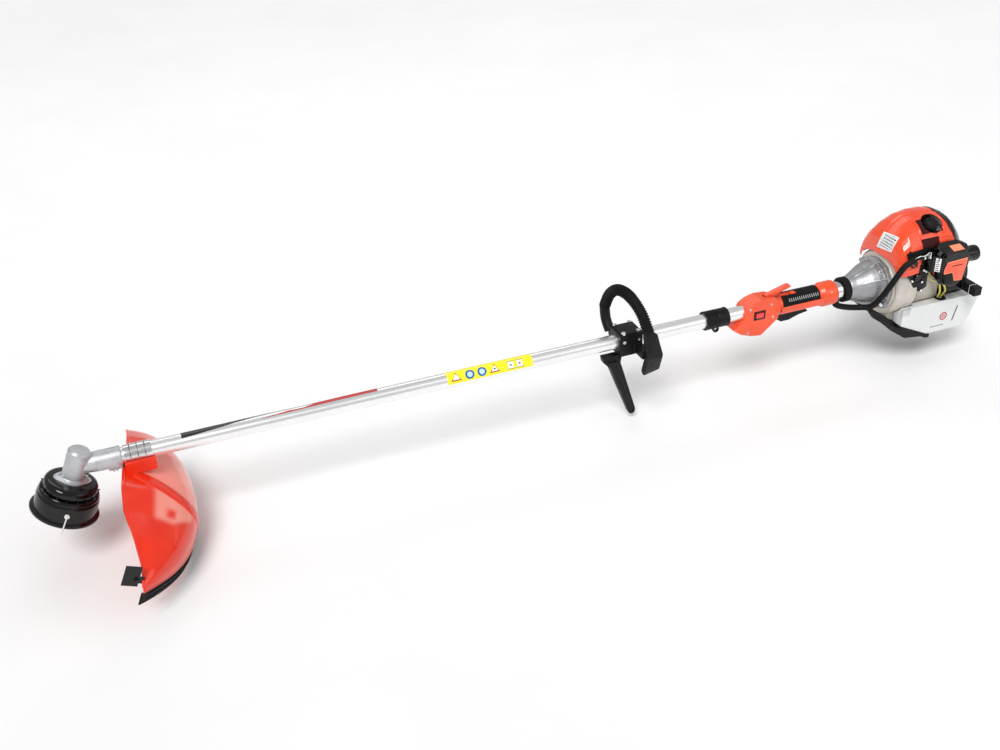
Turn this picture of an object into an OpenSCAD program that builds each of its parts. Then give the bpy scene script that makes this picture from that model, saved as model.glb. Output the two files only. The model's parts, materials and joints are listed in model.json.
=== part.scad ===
// Petrol brush cutter with a straight drive tube, a line head and a rear-mounted two-stroke engine.
// Millimetres. X runs along the drive tube towards the engine, Z is up, the air filter is on the -Y side.
// The origin is on the tube's axis, in the middle of its bare stretch.

/* [Drive tube] */
// Outer diameter of the drive tube
tube_d = 28; // [26:0.5:28]
// Wall thickness of the drive tube
tube_wall = 1.5; // [1.2:0.1:2]
// Diameter of the steel drive shaft inside it
shaft_d = 8; // [7:0.5:8]

/* [Line head] */
// Lean of the head's axis from square to the tube, degrees
head_tilt = 23.8; // [20:0.2:26]
// Radius of the line head's bottom rim
head_rim_r = 55.6; // [52:0.2:57]
// Radius of the line head's body
head_body_r = 50; // [46:0.5:50]
// Length of nylon line that stands out of each eyelet
line_out = 30; // [10:1:60]

/* [Guard] */
// Reach of the guard's rim behind the head's axis
guard_r = 209; // [204:1:212]
// Reach that the rim loses 100 mm to either side of the tube
guard_taper = 15.6; // [15:0.1:16.4]
// Wall thickness of the guard
guard_wall = 2.6; // [2.2:0.1:3]
// Height of the rubber skirt under the guard
skirt_h = 23; // [18:1:28]

/* [Handles] */
// Outer diameter of the loop handle's grip
loop_d = 22; // [20:0.5:24]
// Radius of the throttle grip
grip_r = 22; // [21.5:0.25:23]
// Travel of the throttle trigger, degrees
trigger_travel = 8; // [5:1:9]

/* [Engine] */
// Cylinder bore
bore_d = 40; // [36:0.5:40]
// Piston stroke
stroke = 28; // [24:1:28]
// Number of cooling fins on the cylinder
fin_count = 8; // [6:1:9]
// Radius of the flywheel
flywheel_r = 56; // [50:1:57]

/* [Hidden] */
$fn = 64;
tube_r = tube_d / 2;
tube_in = tube_r - tube_wall;
shaft_r = shaft_d / 2;
run = 0.05;            // radial clearance of everything that turns

// stations along the tube
head_x = -550;         // where the head's axis crosses the tube's axis
tube_front = -514;
tube_back = 948;
sleeve_end = -478;
handle_x = 436;
eye_x = 628;
eye_z = -23;
eye_r = 3.5;
grip_back = 890;
cone_front = 919;
flange_x = 990;
crank_gap_x = 1080;    // middle of the crankshaft, under the cylinder

// gears
pinion_teeth = 15;
wheel_teeth = 20;
shaft_angle = 90 - head_tilt;
pinion_cone = atan2(sin(shaft_angle), wheel_teeth / pinion_teeth + cos(shaft_angle));
wheel_cone = shaft_angle - pinion_cone;
cone_distance = 19;
gear_gap = 0.35;       // the tooth tips stop just short of each other

// ---------------------------------------------------------------- helpers

// a cylinder or cone along X, from x on
module rod_x(x, len, r1, r2 = -1)
    translate([x, 0, 0]) rotate([0, 90, 0]) cylinder(h = len, r1 = r1, r2 = r2 < 0 ? r1 : r2);

// a round tube along X
module ring_x(x, len, r_out, r_in)
    difference() {
        rod_x(x, len, r_out);
        rod_x(x - 1, len + 2, r_in);
    }

// a side profile of [x, z] points, with its thickness along Y
module side_plate(points, y, thick)
    translate([0, y + thick, 0]) rotate([90, 0, 0]) linear_extrude(thick) polygon(points);

// the frame of the line head: z along its axis, x towards the engine
module head_frame()
    translate([head_x, 0, 0]) rotate([0, head_tilt, 0]) children();

// a round tube or disc on the head's axis
module head_ring(z, len, r_out, r_in)
    head_frame() translate([0, 0, z]) difference() {
        cylinder(h = len, r = r_out);
        translate([0, 0, -1]) cylinder(h = len + 2, r = r_in);
    }

// a hexagon-headed bolt along Z whose head starts at z = 0
module bolt(r, len, head_h = 4) {
    cylinder(h = head_h, r = 1.7 * r, $fn = 6);
    translate([0, 0, -len]) cylinder(h = len + 0.01, r = r);
}

// faces of a closed sheet between two grids of rows x cols points, top grid first
function grid_faces(rows, cols) = let (n = rows * cols) concat(
    [for (i = [0 : rows - 2], j = [0 : cols - 2]) each [
        [i * cols + j, (i + 1) * cols + j, (i + 1) * cols + j + 1],
        [i * cols + j, (i + 1) * cols + j + 1, i * cols + j + 1],
        [n + i * cols + j, n + (i + 1) * cols + j + 1, n + (i + 1) * cols + j],
        [n + i * cols + j, n + i * cols + j + 1, n + (i + 1) * cols + j + 1]]],
    [for (i = [0 : rows - 2]) each [
        [i * cols, n + (i + 1) * cols, (i + 1) * cols],
        [i * cols, n + i * cols, n + (i + 1) * cols],
        [i * cols + cols - 1, (i + 1) * cols + cols - 1, n + (i + 1) * cols + cols - 1],
        [i * cols + cols - 1, n + (i + 1) * cols + cols - 1, n + i * cols + cols - 1]]],
    [for (j = [0 : cols - 2]) each [
        [j, j + 1, n + j + 1],
        [j, n + j + 1, n + j],
        [(rows - 1) * cols + j, n + (rows - 1) * cols + j + 1, (rows - 1) * cols + j + 1],
        [(rows - 1) * cols + j, n + (rows - 1) * cols + j, n + (rows - 1) * cols + j + 1]]]);

module sheet(top, bottom)
    polyhedron(concat([for (r = top) each r], [for (r = bottom) each r]),
               grid_faces(len(top), len(top[0])));

// a round bar swept along hand-set points, eased between them
function mix(a, b, t) = a + (b - a) * t;
function ease_point(p, i, t) =
    let (n = len(p), a = p[max(i - 1, 0)], b = p[i], c = p[min(i + 1, n - 1)], d = p[min(i + 2, n - 1)])
    0.5 * (2 * b + (c - a) * t + (2 * a - 5 * b + 4 * c - d) * t * t
           + (3 * b - a - 3 * c + d) * t * t * t);
function eased(p, steps) = concat(
    [for (i = [0 : len(p) - 2], s = [0 : steps - 1]) ease_point(p, i, s / steps)],
    [p[len(p) - 1]]);
function unit(v) = v / norm(v);
function ring_at(c, dir, r, sides) =
    let (u = unit(cross(dir, [0.1, 0.2, 0.97])), v = cross(dir, u))
    [for (k = [0 : sides - 1]) c + r * (cos(360 * k / sides) * u + sin(360 * k / sides) * v)];

module swept_bar(points, r, sides, steps) {
    p = eased(points, steps);
    n = len(p);
    rings = [for (i = [0 : n - 1])
        ring_at(p[i], unit(p[min(i + 1, n - 1)] - p[max(i - 1, 0)]), r, sides)];
    polyhedron([for (g = rings) each g], concat(
        [[for (k = [0 : sides - 1]) k]],
        [[for (k = [0 : sides - 1]) (n - 1) * sides + sides - 1 - k]],
        [for (i = [0 : n - 2], k = [0 : sides - 1]) each [
            [i * sides + k, (i + 1) * sides + (k + 1) % sides, i * sides + (k + 1) % sides],
            [i * sides + k, (i + 1) * sides + k, (i + 1) * sides + (k + 1) % sides]]]));
}

// ---------------------------------------------------------------- drive tube

module drive_tube()
    color("silver") ring_x(tube_front, tube_back - tube_front, tube_r, tube_in);

// plain liners in the tube, and the ball bearings of the gearcase, drum and crankshaft
module shaft_bearings()
    color("gray") {
        for (x = [-380, -60, 260, 580, 840])
            ring_x(x, 24, tube_in, shaft_r + run);
        ring_x(head_x + 24, 9, 11, shaft_r + run);
        head_ring(flange_z + 1, 8, 12, 5 + run);
        ring_x(tube_back + 0.5, 4, 11, shaft_r + run);
        for (x = [1050, 1102])
            ring_x(x, 8, 15, 7.5 + run);
    }

module drive_shaft()
    color("gainsboro") rod_x(head_x + 22, drum_front + 4 - head_x - 22, shaft_r);

// ---------------------------------------------------------------- gearcase and line head

barrel_r = 18.5;
barrel_top = 32;
flange_z = -25;

module gearcase()
    color("silver") difference() {
        union() {
            head_frame() {
                translate([0, 0, -21]) cylinder(h = barrel_top + 21 - 4, r = barrel_r);
                translate([0, 0, barrel_top - 4]) cylinder(h = 4, r1 = barrel_r, r2 = barrel_r - 4);
                for (step = [[7, 3.5], [5, 6]])
                    translate([0, 0, flange_z]) linear_extrude(step[1]) hull() {
                        circle(r = barrel_r + step[0] - 4);
                        for (x = [-22, 19])
                            translate([x, 0]) circle(r = step[0]);
                    }
            }
            rod_x(head_x + 4, 26, 15, 16.5);
            rod_x(head_x + 30, sleeve_end - head_x - 30, tube_r + 3);
            translate([head_x + 48, -5, -tube_r - 8]) cube([20, 10, 8]);
        }
        head_frame() translate([0, 0, -20]) cylinder(h = 47, r = barrel_r - 3);
        head_frame() translate([0, 0, flange_z - 1]) cylinder(h = 9, r = 12);
        rod_x(head_x, 40, 11);
        rod_x(tube_front, 60, tube_r);
        translate([head_x + 58, 0, -tube_r - 10]) cylinder(h = 11, r = 2.6);
    }

// a bevel gear with its apex at the origin and its axis along z
module bevel_gear(teeth, cone, face, bore) {
    far = cone_distance - gear_gap;
    near = far - face;
    difference() {
        translate([0, 0, near * cos(cone)])
            cylinder(h = face * cos(cone), r1 = near * sin(cone) - gear_gap,
                     r2 = far * sin(cone) - gear_gap);
        for (k = [0 : teeth - 1])
            rotate([0, 0, k * 360 / teeth]) rotate([0, cone, 0])
                translate([-1.2, -0.7, near - 2]) cube([3, 1.4, face + 4]);
        cylinder(h = 40, r = bore);
    }
}

module drive_gear()
    color("dimgray") translate([head_x, 0, 0]) rotate([0, 90, 0]) {
        bevel_gear(pinion_teeth, pinion_cone, 7, 3);
        translate([0, 0, 9.6]) cylinder(h = 12.4, r = 3.1);
    }

module driven_gear()
    color("dimgray") head_frame() {
        bevel_gear(wheel_teeth, wheel_cone, 7, 5);
        translate([0, 0, cone_distance * cos(wheel_cone) - gear_gap]) difference() {
            cylinder(h = 6, r = 9);
            translate([0, 0, -1]) cylinder(h = 8, r = 5);
        }
    }

module arbor()
    color("gainsboro") head_frame() difference() {
        union() {
            translate([0, 0, -75]) cylinder(h = 101, r = 5);
            translate([0, 0, -39.5]) cylinder(h = 12, r = 13.5);
        }
        translate([0, 0, 0]) rotate([0, shaft_angle, 0]) translate([0, 0, 5]) cylinder(h = 9, r = 4);
    }

// fixed cup that keeps grass from winding round the arbor
module wrap_guard()
    color("black") head_frame() rotate_extrude()
        polygon([[15, -28], [15, -25.8], [36, -25.8], [41, -28], [43, -32], [43, -39.5],
                 [40.5, -39.5], [40.5, -33], [39, -30], [35, -28]]);

// the head is a stepped bell with a flared rim
module head_housing()
    color("black") head_frame() rotate_extrude()
        polygon([[5, -42], [36, -42], [45, -42.6], [48, -45], [48.6, -51], [head_body_r - 0.5, -53],
                 [head_body_r, -58], [head_body_r, -79], [head_rim_r - 1, -80.5],
                 [head_rim_r, -82], [head_rim_r, -85], [head_rim_r - 1.5, -86], [30, -86], [30, -83],
                 [head_body_r - 3, -83], [head_body_r - 3, -58], [44, -48], [36, -46], [5, -46]]);

eyelet_z = -65;
eyelet_turn = -94;

module at_eyelets()
    head_frame() for (k = [0, 180])
        rotate([0, 0, eyelet_turn + k]) translate([head_body_r, 0, eyelet_z]) children();

// steel eyelets, each with a short end of nylon line swept back by the head's turning
module line_exits()
    at_eyelets() {
        color("silver") rotate([0, 90, 0]) difference() {
            cylinder(h = 2, r = 4);
            translate([0, 0, -1]) cylinder(h = 4, r = 1.2);
        }
        color("whitesmoke") translate([2.1, 0, 0]) rotate([0, 124, -12])
            cylinder(h = line_out, r = 1.2, $fn = 24);
    }

module line_spool()
    color("gray") head_frame() translate([0, 0, -75]) difference() {
        union() {
            cylinder(h = 3, r = 42);
            translate([0, 0, 23]) cylinder(h = 3, r = 42);
            cylinder(h = 26, r = 30);
        }
        translate([0, 0, 4]) cylinder(h = 30, r = 14);
        translate([0, 0, -1]) cylinder(h = 30, r = 10);
    }

module bump_knob()
    color("dimgray") head_frame() {
        translate([0, 0, -96]) cylinder(h = 9, r1 = 22, r2 = 26);
        translate([0, 0, -87]) cylinder(h = 6.5, r = 27);
    }

// ---------------------------------------------------------------- guard

guard_ends = [-222, 150];
guard_rows = 30;
guard_cols = 14;
guard_floor = -76;     // height of the rim in the head's frame
// front edge of the guard as [y, reach, height] in the head's frame
guard_front = [[-222, 97, -68], [-195, 93, -47], [-150, 80, -24], [-100, 68, -11], [-50, 66, 4],
               [-18, 69, 11], [18, 74, 13], [60, 84, 12], [100, 90, 8], [135, 95, 0], [150, 97, -7]];

function rim_reach(y) = guard_r - guard_taper * pow(abs(y) / 100, 2.45);
function guard_point(y, s, inset) =
    let (f = lookup_row(y), rim = max(rim_reach(y), f[0] + 4), a = 90 * s,
         px = pow(sin(a), 0.66), pz = pow(cos(a), 0.66))
    [f[0] + (rim - inset - f[0]) * px, y, guard_floor + (f[1] - inset - guard_floor) * pz];
function lookup_row(y) = [lookup(y, [for (f = guard_front) [f[0], f[1]]]),
                          lookup(y, [for (f = guard_front) [f[0], f[2]]])];
function guard_grid(inset) = [for (i = [0 : guard_rows])
    [for (j = [0 : guard_cols])
        guard_point(mix(guard_ends[0], guard_ends[1], i / guard_rows), j / guard_cols, inset)]];

module guard_shell()
    color("orangered") head_frame() sheet(guard_grid(0), guard_grid(guard_wall));

function skirt_grid(inset) = [for (i = [0 : guard_rows])
    let (y = mix(guard_ends[0], guard_ends[1] - 20, i / guard_rows), r = rim_reach(y) - inset)
    [[r, y, guard_floor - skirt_h], [r - 0.6, y, guard_floor - 0.1]]];

module guard_skirt()
    color("black") head_frame() sheet(skirt_grid(0), skirt_grid(3.4));

guard_bolts = [-464, -440];

module guard_saddle()
    color("orangered") difference() {
        translate([-476, -20, -tube_r - 14]) cube([50, 48, 22]);
        rod_x(-480, 60, tube_r);
        for (x = guard_bolts)
            translate([x, 22, -14]) cylinder(h = 20, r = 2.2);
        head_frame() translate([60, -30, -60]) cube([60, 60, 69]);
    }

// strap over the tube, bolted down on the far side
module guard_clamp()
    color("silver") difference() {
        union() {
            rod_x(-474, 44, tube_r + 2.2);
            translate([-474, 0, -2.5]) cube([44, 27, 2.5]);
        }
        rod_x(-480, 60, tube_r);
        translate([-480, -30, -40]) cube([60, 60, 37.5]);
        for (x = guard_bolts)
            translate([x, 22, -14]) cylinder(h = 20, r = 2.2);
    }

// blade on the near end of the rim that trims the line to length
module line_cutter()
    color("dimgray") head_frame() {
        translate([65, -212, -72]) cube([25, 2.5, 36]);
        translate([88, -212, -66]) cube([10, 2.5, 12]);
        translate([86, -212, -60]) rotate([90, 0, 0]) cylinder(h = 4, r = 4, $fn = 6);
    }

// ---------------------------------------------------------------- loop handle

// route of the loop, from the clamp's far side over the top to the near side
loop_route = [[419, 32, 6], [417, 46, 26], [418, 54, 48], [422, 41, 78], [427, 17, 97],
              [436, -12, 95], [446, -39, 72], [453, -57, 38]];

module loop_frame()
    color("black") {
        swept_bar([for (i = [0 : 2]) loop_route[i]], loop_d / 2 - 1, 12, 5);
        hull() {
            translate([452, -57, 36]) sphere(r = 9.5, $fn = 24);
            translate([462, -60, 30]) sphere(r = 8, $fn = 24);
            translate([449, -60, -10]) rotate([0, 90, 0]) cylinder(h = 30, r = 7, $fn = 24);
        }
        hull() {
            translate([449, -60, -10]) rotate([0, 90, 0]) cylinder(h = 30, r = 7, $fn = 24);
            translate([449, -47, -50]) rotate([0, 78, 0]) cylinder(h = 32, r = 6, $fn = 24);
        }
    }

module loop_grip()
    color("black") swept_bar([for (i = [2 : 7]) loop_route[i]], loop_d / 2, 16, 6);

clamp_from = handle_x - 22;
clamp_len = 46;
clamp_half = 22;

clamp_bolts = [for (x = [clamp_from + 8, clamp_from + clamp_len - 8], y = [-18, 18]) [x, y]];

// two halves round the tube, with an ear for the loop's far leg and an arm for its near leg
module handle_clamp()
    color("black") difference() {
        union() {
            for (z = [0.3, -clamp_half - 0.3])
                translate([clamp_from, -clamp_half, z]) cube([clamp_len, 2 * clamp_half, clamp_half]);
            translate([clamp_from, clamp_half - 1, 0.3]) cube([20, 8, 14]);
            translate([clamp_from + 30, -53, -18]) cube([16, 54 - clamp_half, 16]);
        }
        rod_x(clamp_from - 1, clamp_len + 2, tube_r);
        for (p = clamp_bolts)
            translate([p[0], p[1], -40]) cylinder(h = 70, r = 2.5);
    }

// bolts of the gearcase, the guard's clamp and the loop handle's clamp
module tube_bolts()
    color("gray") {
        translate([head_x + 58, 0, -tube_r - 8]) rotate([180, 0, 0]) bolt(2.5, 7);
        head_frame() for (sx = [-22.5, 21.3])
            translate([sx, 0, flange_z + 6]) cylinder(h = 2.6, r = 2.6, $fn = 6);
        for (x = guard_bolts)
            translate([x, 22, 0]) bolt(2.2, 14);
        for (p = clamp_bolts)
            translate([p[0], p[1], clamp_half + 0.3]) bolt(2.5, 2 * clamp_half);
    }

// leg that keeps the user behind the handle, and holds the machine off the ground
module barrier_leg()
    color("black") difference() {
        union() {
            side_plate([[384, -22.4], [424, -22.4], [421, -40], [455, -151], [454, -159], [448, -162],
                        [442, -159], [399, -48], [386, -34]], -12, 14);
            side_plate([[394, -34], [412, -34], [447, -153], [443, -153]], -16, 22);
        }
        translate([448, 20, -153]) rotate([90, 0, 0]) cylinder(h = 60, r = 2.5);
    }

// ---------------------------------------------------------------- harness collar

module harness_collar()
    color("black") difference() {
        union() {
            rod_x(602, 26, tube_r + 3.4);
            rod_x(628, 20, tube_r + 4);
            rod_x(600, 4, tube_r + 4.4);
            rod_x(645, 4, tube_r + 4.4);
            translate([eye_x - 9, -3, -tube_r - 5]) cube([18, 6, 8]);
            translate([eye_x, 3, eye_z]) rotate([90, 0, 0]) cylinder(h = 6, r = eye_r + 3);
        }
        rod_x(590, 70, tube_r);
        translate([eye_x, 10, eye_z]) rotate([90, 0, 0]) cylinder(h = 20, r = eye_r);
    }

// ---------------------------------------------------------------- throttle grip

trigger_pivot = [762, -19];
lever_pivot = [737, 20];
grip_core = grip_r - 1.6;
head_half = 18;         // half width of the throttle housing's front end
// top of the trigger's far end, which stays clear of the tube at full pull
trigger_tip = -tube_r - 1 - 68 * sin(trigger_travel);

module throttle_housing()
    color("orangered") difference() {
        union() {
            side_plate([[657, -26], [670, -19], [678, -8], [680, 4], [684, 14], [697, 22], [716, 27],
                        [742, 25], [756, 19], [756, -20], [740, -34], [720, -50], [698, -47],
                        [674, -38]], -head_half, 2 * head_half);
            rod_x(750, 106, grip_core);
            rod_x(852, 8, grip_core, 24.5);
            rod_x(860, grip_back - 864, 24.5);
            rod_x(grip_back - 4, 4, 24.5, 21);
        }
        rod_x(650, 260, tube_r);
        translate([753, -6, -40]) cube([86, 12, 30]);
        translate([728, -6, 10]) cube([62, 12, 34]);
        translate([702, -head_half - 1, -12]) cube([22, 5, 16]);
        pin_bars();
    }

// soft pad on the top and near side of the grip
module grip_pad()
    color("black") difference() {
        ring_x(764, 84, grip_r, grip_core);
        translate([760, -7, 0]) cube([40, 14, 40]);
        translate([760, -60, -60]) cube([110, 120, 52]);
    }

module throttle_trigger()
    color("black") difference() {
        side_plate([[756, -14.6], [768, -15.8], [774, -17.5], [830, trigger_tip], [832, trigger_tip - 3.5],
                    [812, -31], [790, -38], [772, -38], [757, -28]], -5, 10);
        translate([trigger_pivot[0], 20, trigger_pivot[1]]) rotate([90, 0, 0])
            cylinder(h = 40, r = 2 + run);
    }

module lockout_lever()
    color("orangered") difference() {
        side_plate([[732, 15.5], [743, 15.5], [748, 23], [784, 34], [787, 37], [784, 40], [778, 40],
                    [743, 30], [732, 27]], -5, 10);
        translate([lever_pivot[0], 20, lever_pivot[1]]) rotate([90, 0, 0]) cylinder(h = 40, r = 2 + run);
    }

module pin_bars()
    for (p = [trigger_pivot, lever_pivot])
        translate([p[0], 8, p[1]]) rotate([90, 0, 0]) cylinder(h = 16, r = 2);

module pivot_pins()
    color("gainsboro") pin_bars();

module stop_switch()
    color("red") {
        translate([705, -head_half - 2.5, -9]) cube([16, 5.2, 10]);
        translate([713, -head_half + 1.5, -11]) cylinder(h = 14, r = 1.1);
    }

// ---------------------------------------------------------------- throttle cable conduit

conduit_route = [[889, -12, -21], [898, -14, -27], [916, -18, -32], [938, -25, -34],
                 [955, -42, -27], [964, -55, -4], [972, -65, 22], [980, -72, 46],
                 [991, -77, 68], [1011, -78.7, 79.5]];

module throttle_conduit()
    color("black") swept_bar(conduit_route, 6, 12, 5);

// ---------------------------------------------------------------- clutch end

module tube_clamp()
    color("silver") difference() {
        union() {
            rod_x(891, 14, tube_r + 4);
            translate([892, -6, -tube_r - 12]) cube([12, 12, 12]);
        }
        rod_x(885, 30, tube_r);
        translate([885, -1, -40]) cube([40, 2, 30]);
    }

module isolator_ring()
    color("black") ring_x(907, cone_front - 907, 25, tube_r);

drum_front = 957;
drum_r = 36;
ear_turns = [35, 125, 215, 305];
ear_r = 50.5;          // circle of the housing bolts

// on each ear of the clutch housing, looking along X
module at_ears(x)
    for (a = ear_turns)
        rotate([a, 0, 0]) translate([x, 0, ear_r]) rotate([0, 90, 0]) children();

module clutch_housing()
    color("silver") difference() {
        union() {
            rotate([0, 90, 0]) rotate_extrude() polygon([
                [0, cone_front], [22.5, cone_front], [24.5, cone_front + 3], [27, cone_front + 12],
                [42, cone_front + 42], [45, cone_front + 52], [46, flange_x - 8], [53, flange_x - 7],
                [53, flange_x], [0, flange_x]]);
            at_ears(flange_x - 9) cylinder(h = 9, r = 7);
            for (a = [0 : 45 : 315])
                rotate([a + 12, 0, 0]) side_plate(
                    [[cone_front + 10, 22], [cone_front + 14, 29], [flange_x - 10, 51], [flange_x - 3, 51],
                     [flange_x - 3, 40], [cone_front + 30, 22]], -1.2, 2.4);
        }
        rod_x(cone_front - 1, tube_back - cone_front + 1, tube_r);
        rod_x(cone_front, 60, 11);
        rod_x(drum_front, flange_x - drum_front + 1, drum_r + 1.5);
        at_ears(flange_x - 12) cylinder(h = 20, r = 2.6);
    }

module housing_bolts()
    color("gray") at_ears(flange_x - 9) rotate([180, 0, 0]) bolt(2.5, 13);

module clutch_drum()
    color("dimgray") difference() {
        union() {
            rod_x(drum_front + 3, 30, drum_r);
            rod_x(drum_front - 4, 8, 7);
        }
        rod_x(drum_front + 6, 40, drum_r - 2.5);
        rod_x(drum_front - 10, 20, shaft_r);
    }

// two centrifugal shoes on the crankshaft's nose, held in by a pair of coil springs
module clutch_shoes()
    color("gray") difference() {
        rod_x(drum_front + 10, 18, drum_r - 3.5);
        rod_x(drum_front, 40, 10);
        translate([drum_front, -40, -2]) cube([40, 80, 4]);
    }

// ---------------------------------------------------------------- engine

module fan_housing()
    color("silver") difference() {
        union() {
            rod_x(flange_x, 4, 56);
            rod_x(flange_x + 3.4, 4, 61, 66);
            rod_x(flange_x + 7.4, 42, 66);
            side_plate([[1004, -40], [1038, -40], [1038, -87.4], [1004, -71.2]], -33, 79);
        }
        rod_x(flange_x + 6, 40, 60);
        rod_x(flange_x - 1, 8, 42);
        rod_x(flange_x, 80, 17.5);
        side_plate([[1010, -64], [1033, -64], [1033, -100], [1010, -100]], -27, 67);
        at_ears(flange_x - 1) cylinder(h = 12, r = 2.5);
    }

module flywheel()
    color("gray") difference() {
        union() {
            rod_x(1000, 8, flywheel_r);
            rod_x(1000, 24, 14);
            for (a = [0 : 24 : 336])
                rotate([a, 0, 0]) translate([1007, -1.2, 26]) cube([16, 2.4, flywheel_r - 28]);
        }
        rod_x(990, 50, 7.5);
    }

module crankcase()
    color("silver") difference() {
        union() {
            translate([1040, -40, -42]) cube([74, 80, 84]);
            translate([1042, -34, -47]) cube([72, 68, 8]);
        }
        rod_x(1062, 38, 34);
        rod_x(1030, 90, 15);
        translate([crank_gap_x, 0, 0]) cylinder(h = 50, r = bore_d / 2 + 0.05);
    }

// crankshaft in two halves: the crankpin is the opened pivot, so only its stubs are there
module crankshaft()
    color("gainsboro") {
        rod_x(drum_front + 8, 1066 - drum_front - 8, 7.5);
        rod_x(1066, 8, 26.5);
        rod_x(1074, 1, 6.5);
        rod_x(1086, 8, 26.5);
        rod_x(1085, 1, 6.5);
        rod_x(1094, 46, 7.5);
        ring_x(drum_front + 9.9, 18.2, 10, 7.5);
    }

fin_pitch = 7.6;
bore_top = 88;
cylinder_base = 42;
wrist_z = 62;
rod_len = wrist_z - stroke / 2;

// the spark plug leans towards the air filter's side
module plug_axis()
    translate([crank_gap_x - 5, -8, 90]) rotate([37, 0, 0]) children();

module cylinder_block()
    color("silver") difference() {
        union() {
            translate([crank_gap_x, 0, cylinder_base]) cylinder(h = 62, r = 25);
            translate([crank_gap_x - 30, -30, cylinder_base]) cube([60, 60, 7]);
            for (i = [0 : fin_count - 1])
                translate([crank_gap_x - 32, -36, 53 + i * fin_pitch]) cube([64, 72, 2]);
            translate([crank_gap_x - 13, -46, 56]) cube([26, 30, 24]);
            translate([crank_gap_x - 15, 16, 56]) cube([30, 28, 24]);
        }
        translate([crank_gap_x, 0, 30]) cylinder(h = bore_top - 30, r = bore_d / 2 + run);
        for (side = [-1, 1])
            translate([crank_gap_x, side * 18, 68]) rotate([-90 * side, 0, 0]) cylinder(h = 30, r = 8);
        plug_axis() cylinder(h = 60, r = 17);
        plug_axis() translate([0, 0, -14]) cylinder(h = 20, r = 7);
    }

module piston()
    color("gainsboro") difference() {
        translate([crank_gap_x, 0, wrist_z - 8]) cylinder(h = 30, r = bore_d / 2);
        translate([crank_gap_x, 0, wrist_z - 9]) cylinder(h = 26, r = bore_d / 2 - 3);
        rod_x_at(crank_gap_x - 30, 60, 4 + run, wrist_z);
        for (z = [wrist_z + 13, wrist_z + 17])
            translate([crank_gap_x, 0, z]) difference() {
                cylinder(h = 1.5, r = bore_d / 2 + 1);
                translate([0, 0, -1]) cylinder(h = 4, r = bore_d / 2 - 1);
            }
    }

// a cylinder along X at height z
module rod_x_at(x, len, r, z)
    translate([0, 0, z]) rod_x(x, len, r);

// rod with its wrist pin; its big end is open to the crankpin
module connecting_rod()
    color("gray") {
        difference() {
            union() {
                rod_x_at(crank_gap_x - 4, 8, 7, wrist_z);
                rod_x_at(crank_gap_x - 4, 8, 10, wrist_z - rod_len);
                translate([crank_gap_x - 3, -4.5, wrist_z - rod_len]) cube([6, 9, rod_len]);
            }
            rod_x_at(crank_gap_x - 10, 20, 4, wrist_z);
            rod_x_at(crank_gap_x - 10, 20, 6.6, wrist_z - rod_len);
        }
        rod_x_at(crank_gap_x - 17, 34, 4, wrist_z);
    }

module spark_plug()
    color("gainsboro") plug_axis() {
        translate([0, 0, -2]) cylinder(h = 8, r = 7);
        translate([0, 0, 0]) cylinder(h = 7, r = 10, $fn = 6);
        translate([0, 0, 7]) cylinder(h = 17, r = 5);
    }

module plug_cap()
    color("black") plug_axis() difference() {
        union() {
            translate([0, 0, 9]) cylinder(h = 28, r1 = 9, r2 = 12);
            translate([0, 0, 36]) sphere(r = 16);
        }
        translate([0, 0, 6]) cylinder(h = 18, r = 5);
    }

// shroud sections along X as [x, half width, top, lower edge]
cover_rows = [[990.6, 56, 61, 34], [993, 63, 78, 36], [996, 65, 91, 37], [1003, 67, 106, 38],
              [1017, 68, 121, 38], [1038, 68, 133, 40], [1062, 67, 138, 43], [1088, 64, 138, 48],
              [1108, 61, 134, 52], [1122, 58, 127, 54]];
rear_rows = [[1124, 58, 126, 54], [1132, 54, 118, 56], [1141, 49, 106, 58], [1149, 43, 91, 60],
             [1154, 37, 79, 62], [1156, 31, 73, 62]];
cover_cols = 22;
function shroud(rows, inset, lean) = [for (r = rows) [for (j = [0 : cover_cols])
    let (a = 180 * j / cover_cols, c = cos(a), t = r[2] - r[3] - inset)
    [r[0] + inset * lean, (r[1] - inset) * sign(c) * pow(abs(c), 0.8), r[3] + t * pow(sin(a), 0.8)]]];

module engine_cover()
    color("orangered") difference() {
        sheet(shroud(cover_rows, 0, 0), shroud(cover_rows, 2.4, 0.4));
        plug_axis() translate([0, 0, 4]) cylinder(h = 60, r = 22);
        translate([1040, 38, 0]) cube([120, 60, 100]);
        side_plate([[1036, 0], [1036, 50], [1048, 85], [1110, 87], [1112, 0]], -80, 40);
    }

module rear_cover()
    color("black") sheet(shroud(rear_rows, 0, 0), shroud(rear_rows, 2.4, -0.4));

module muffler()
    color("dimgray") difference() {
        union() {
            translate([1048, 44.2, 34]) cube([58, 30, 62]);
            translate([1044, 50, 40]) cube([66, 18, 50]);
            translate([1090, 74, 46]) rotate([-90, 0, 0]) cylinder(h = 7, r = 7);
        }
        translate([1090, 60, 46]) rotate([-90, 0, 0]) cylinder(h = 40, r = 5);
    }

choke_pivot = [1055, 49];
bulb_r = 7.4;          // rim of the primer bulb

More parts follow.
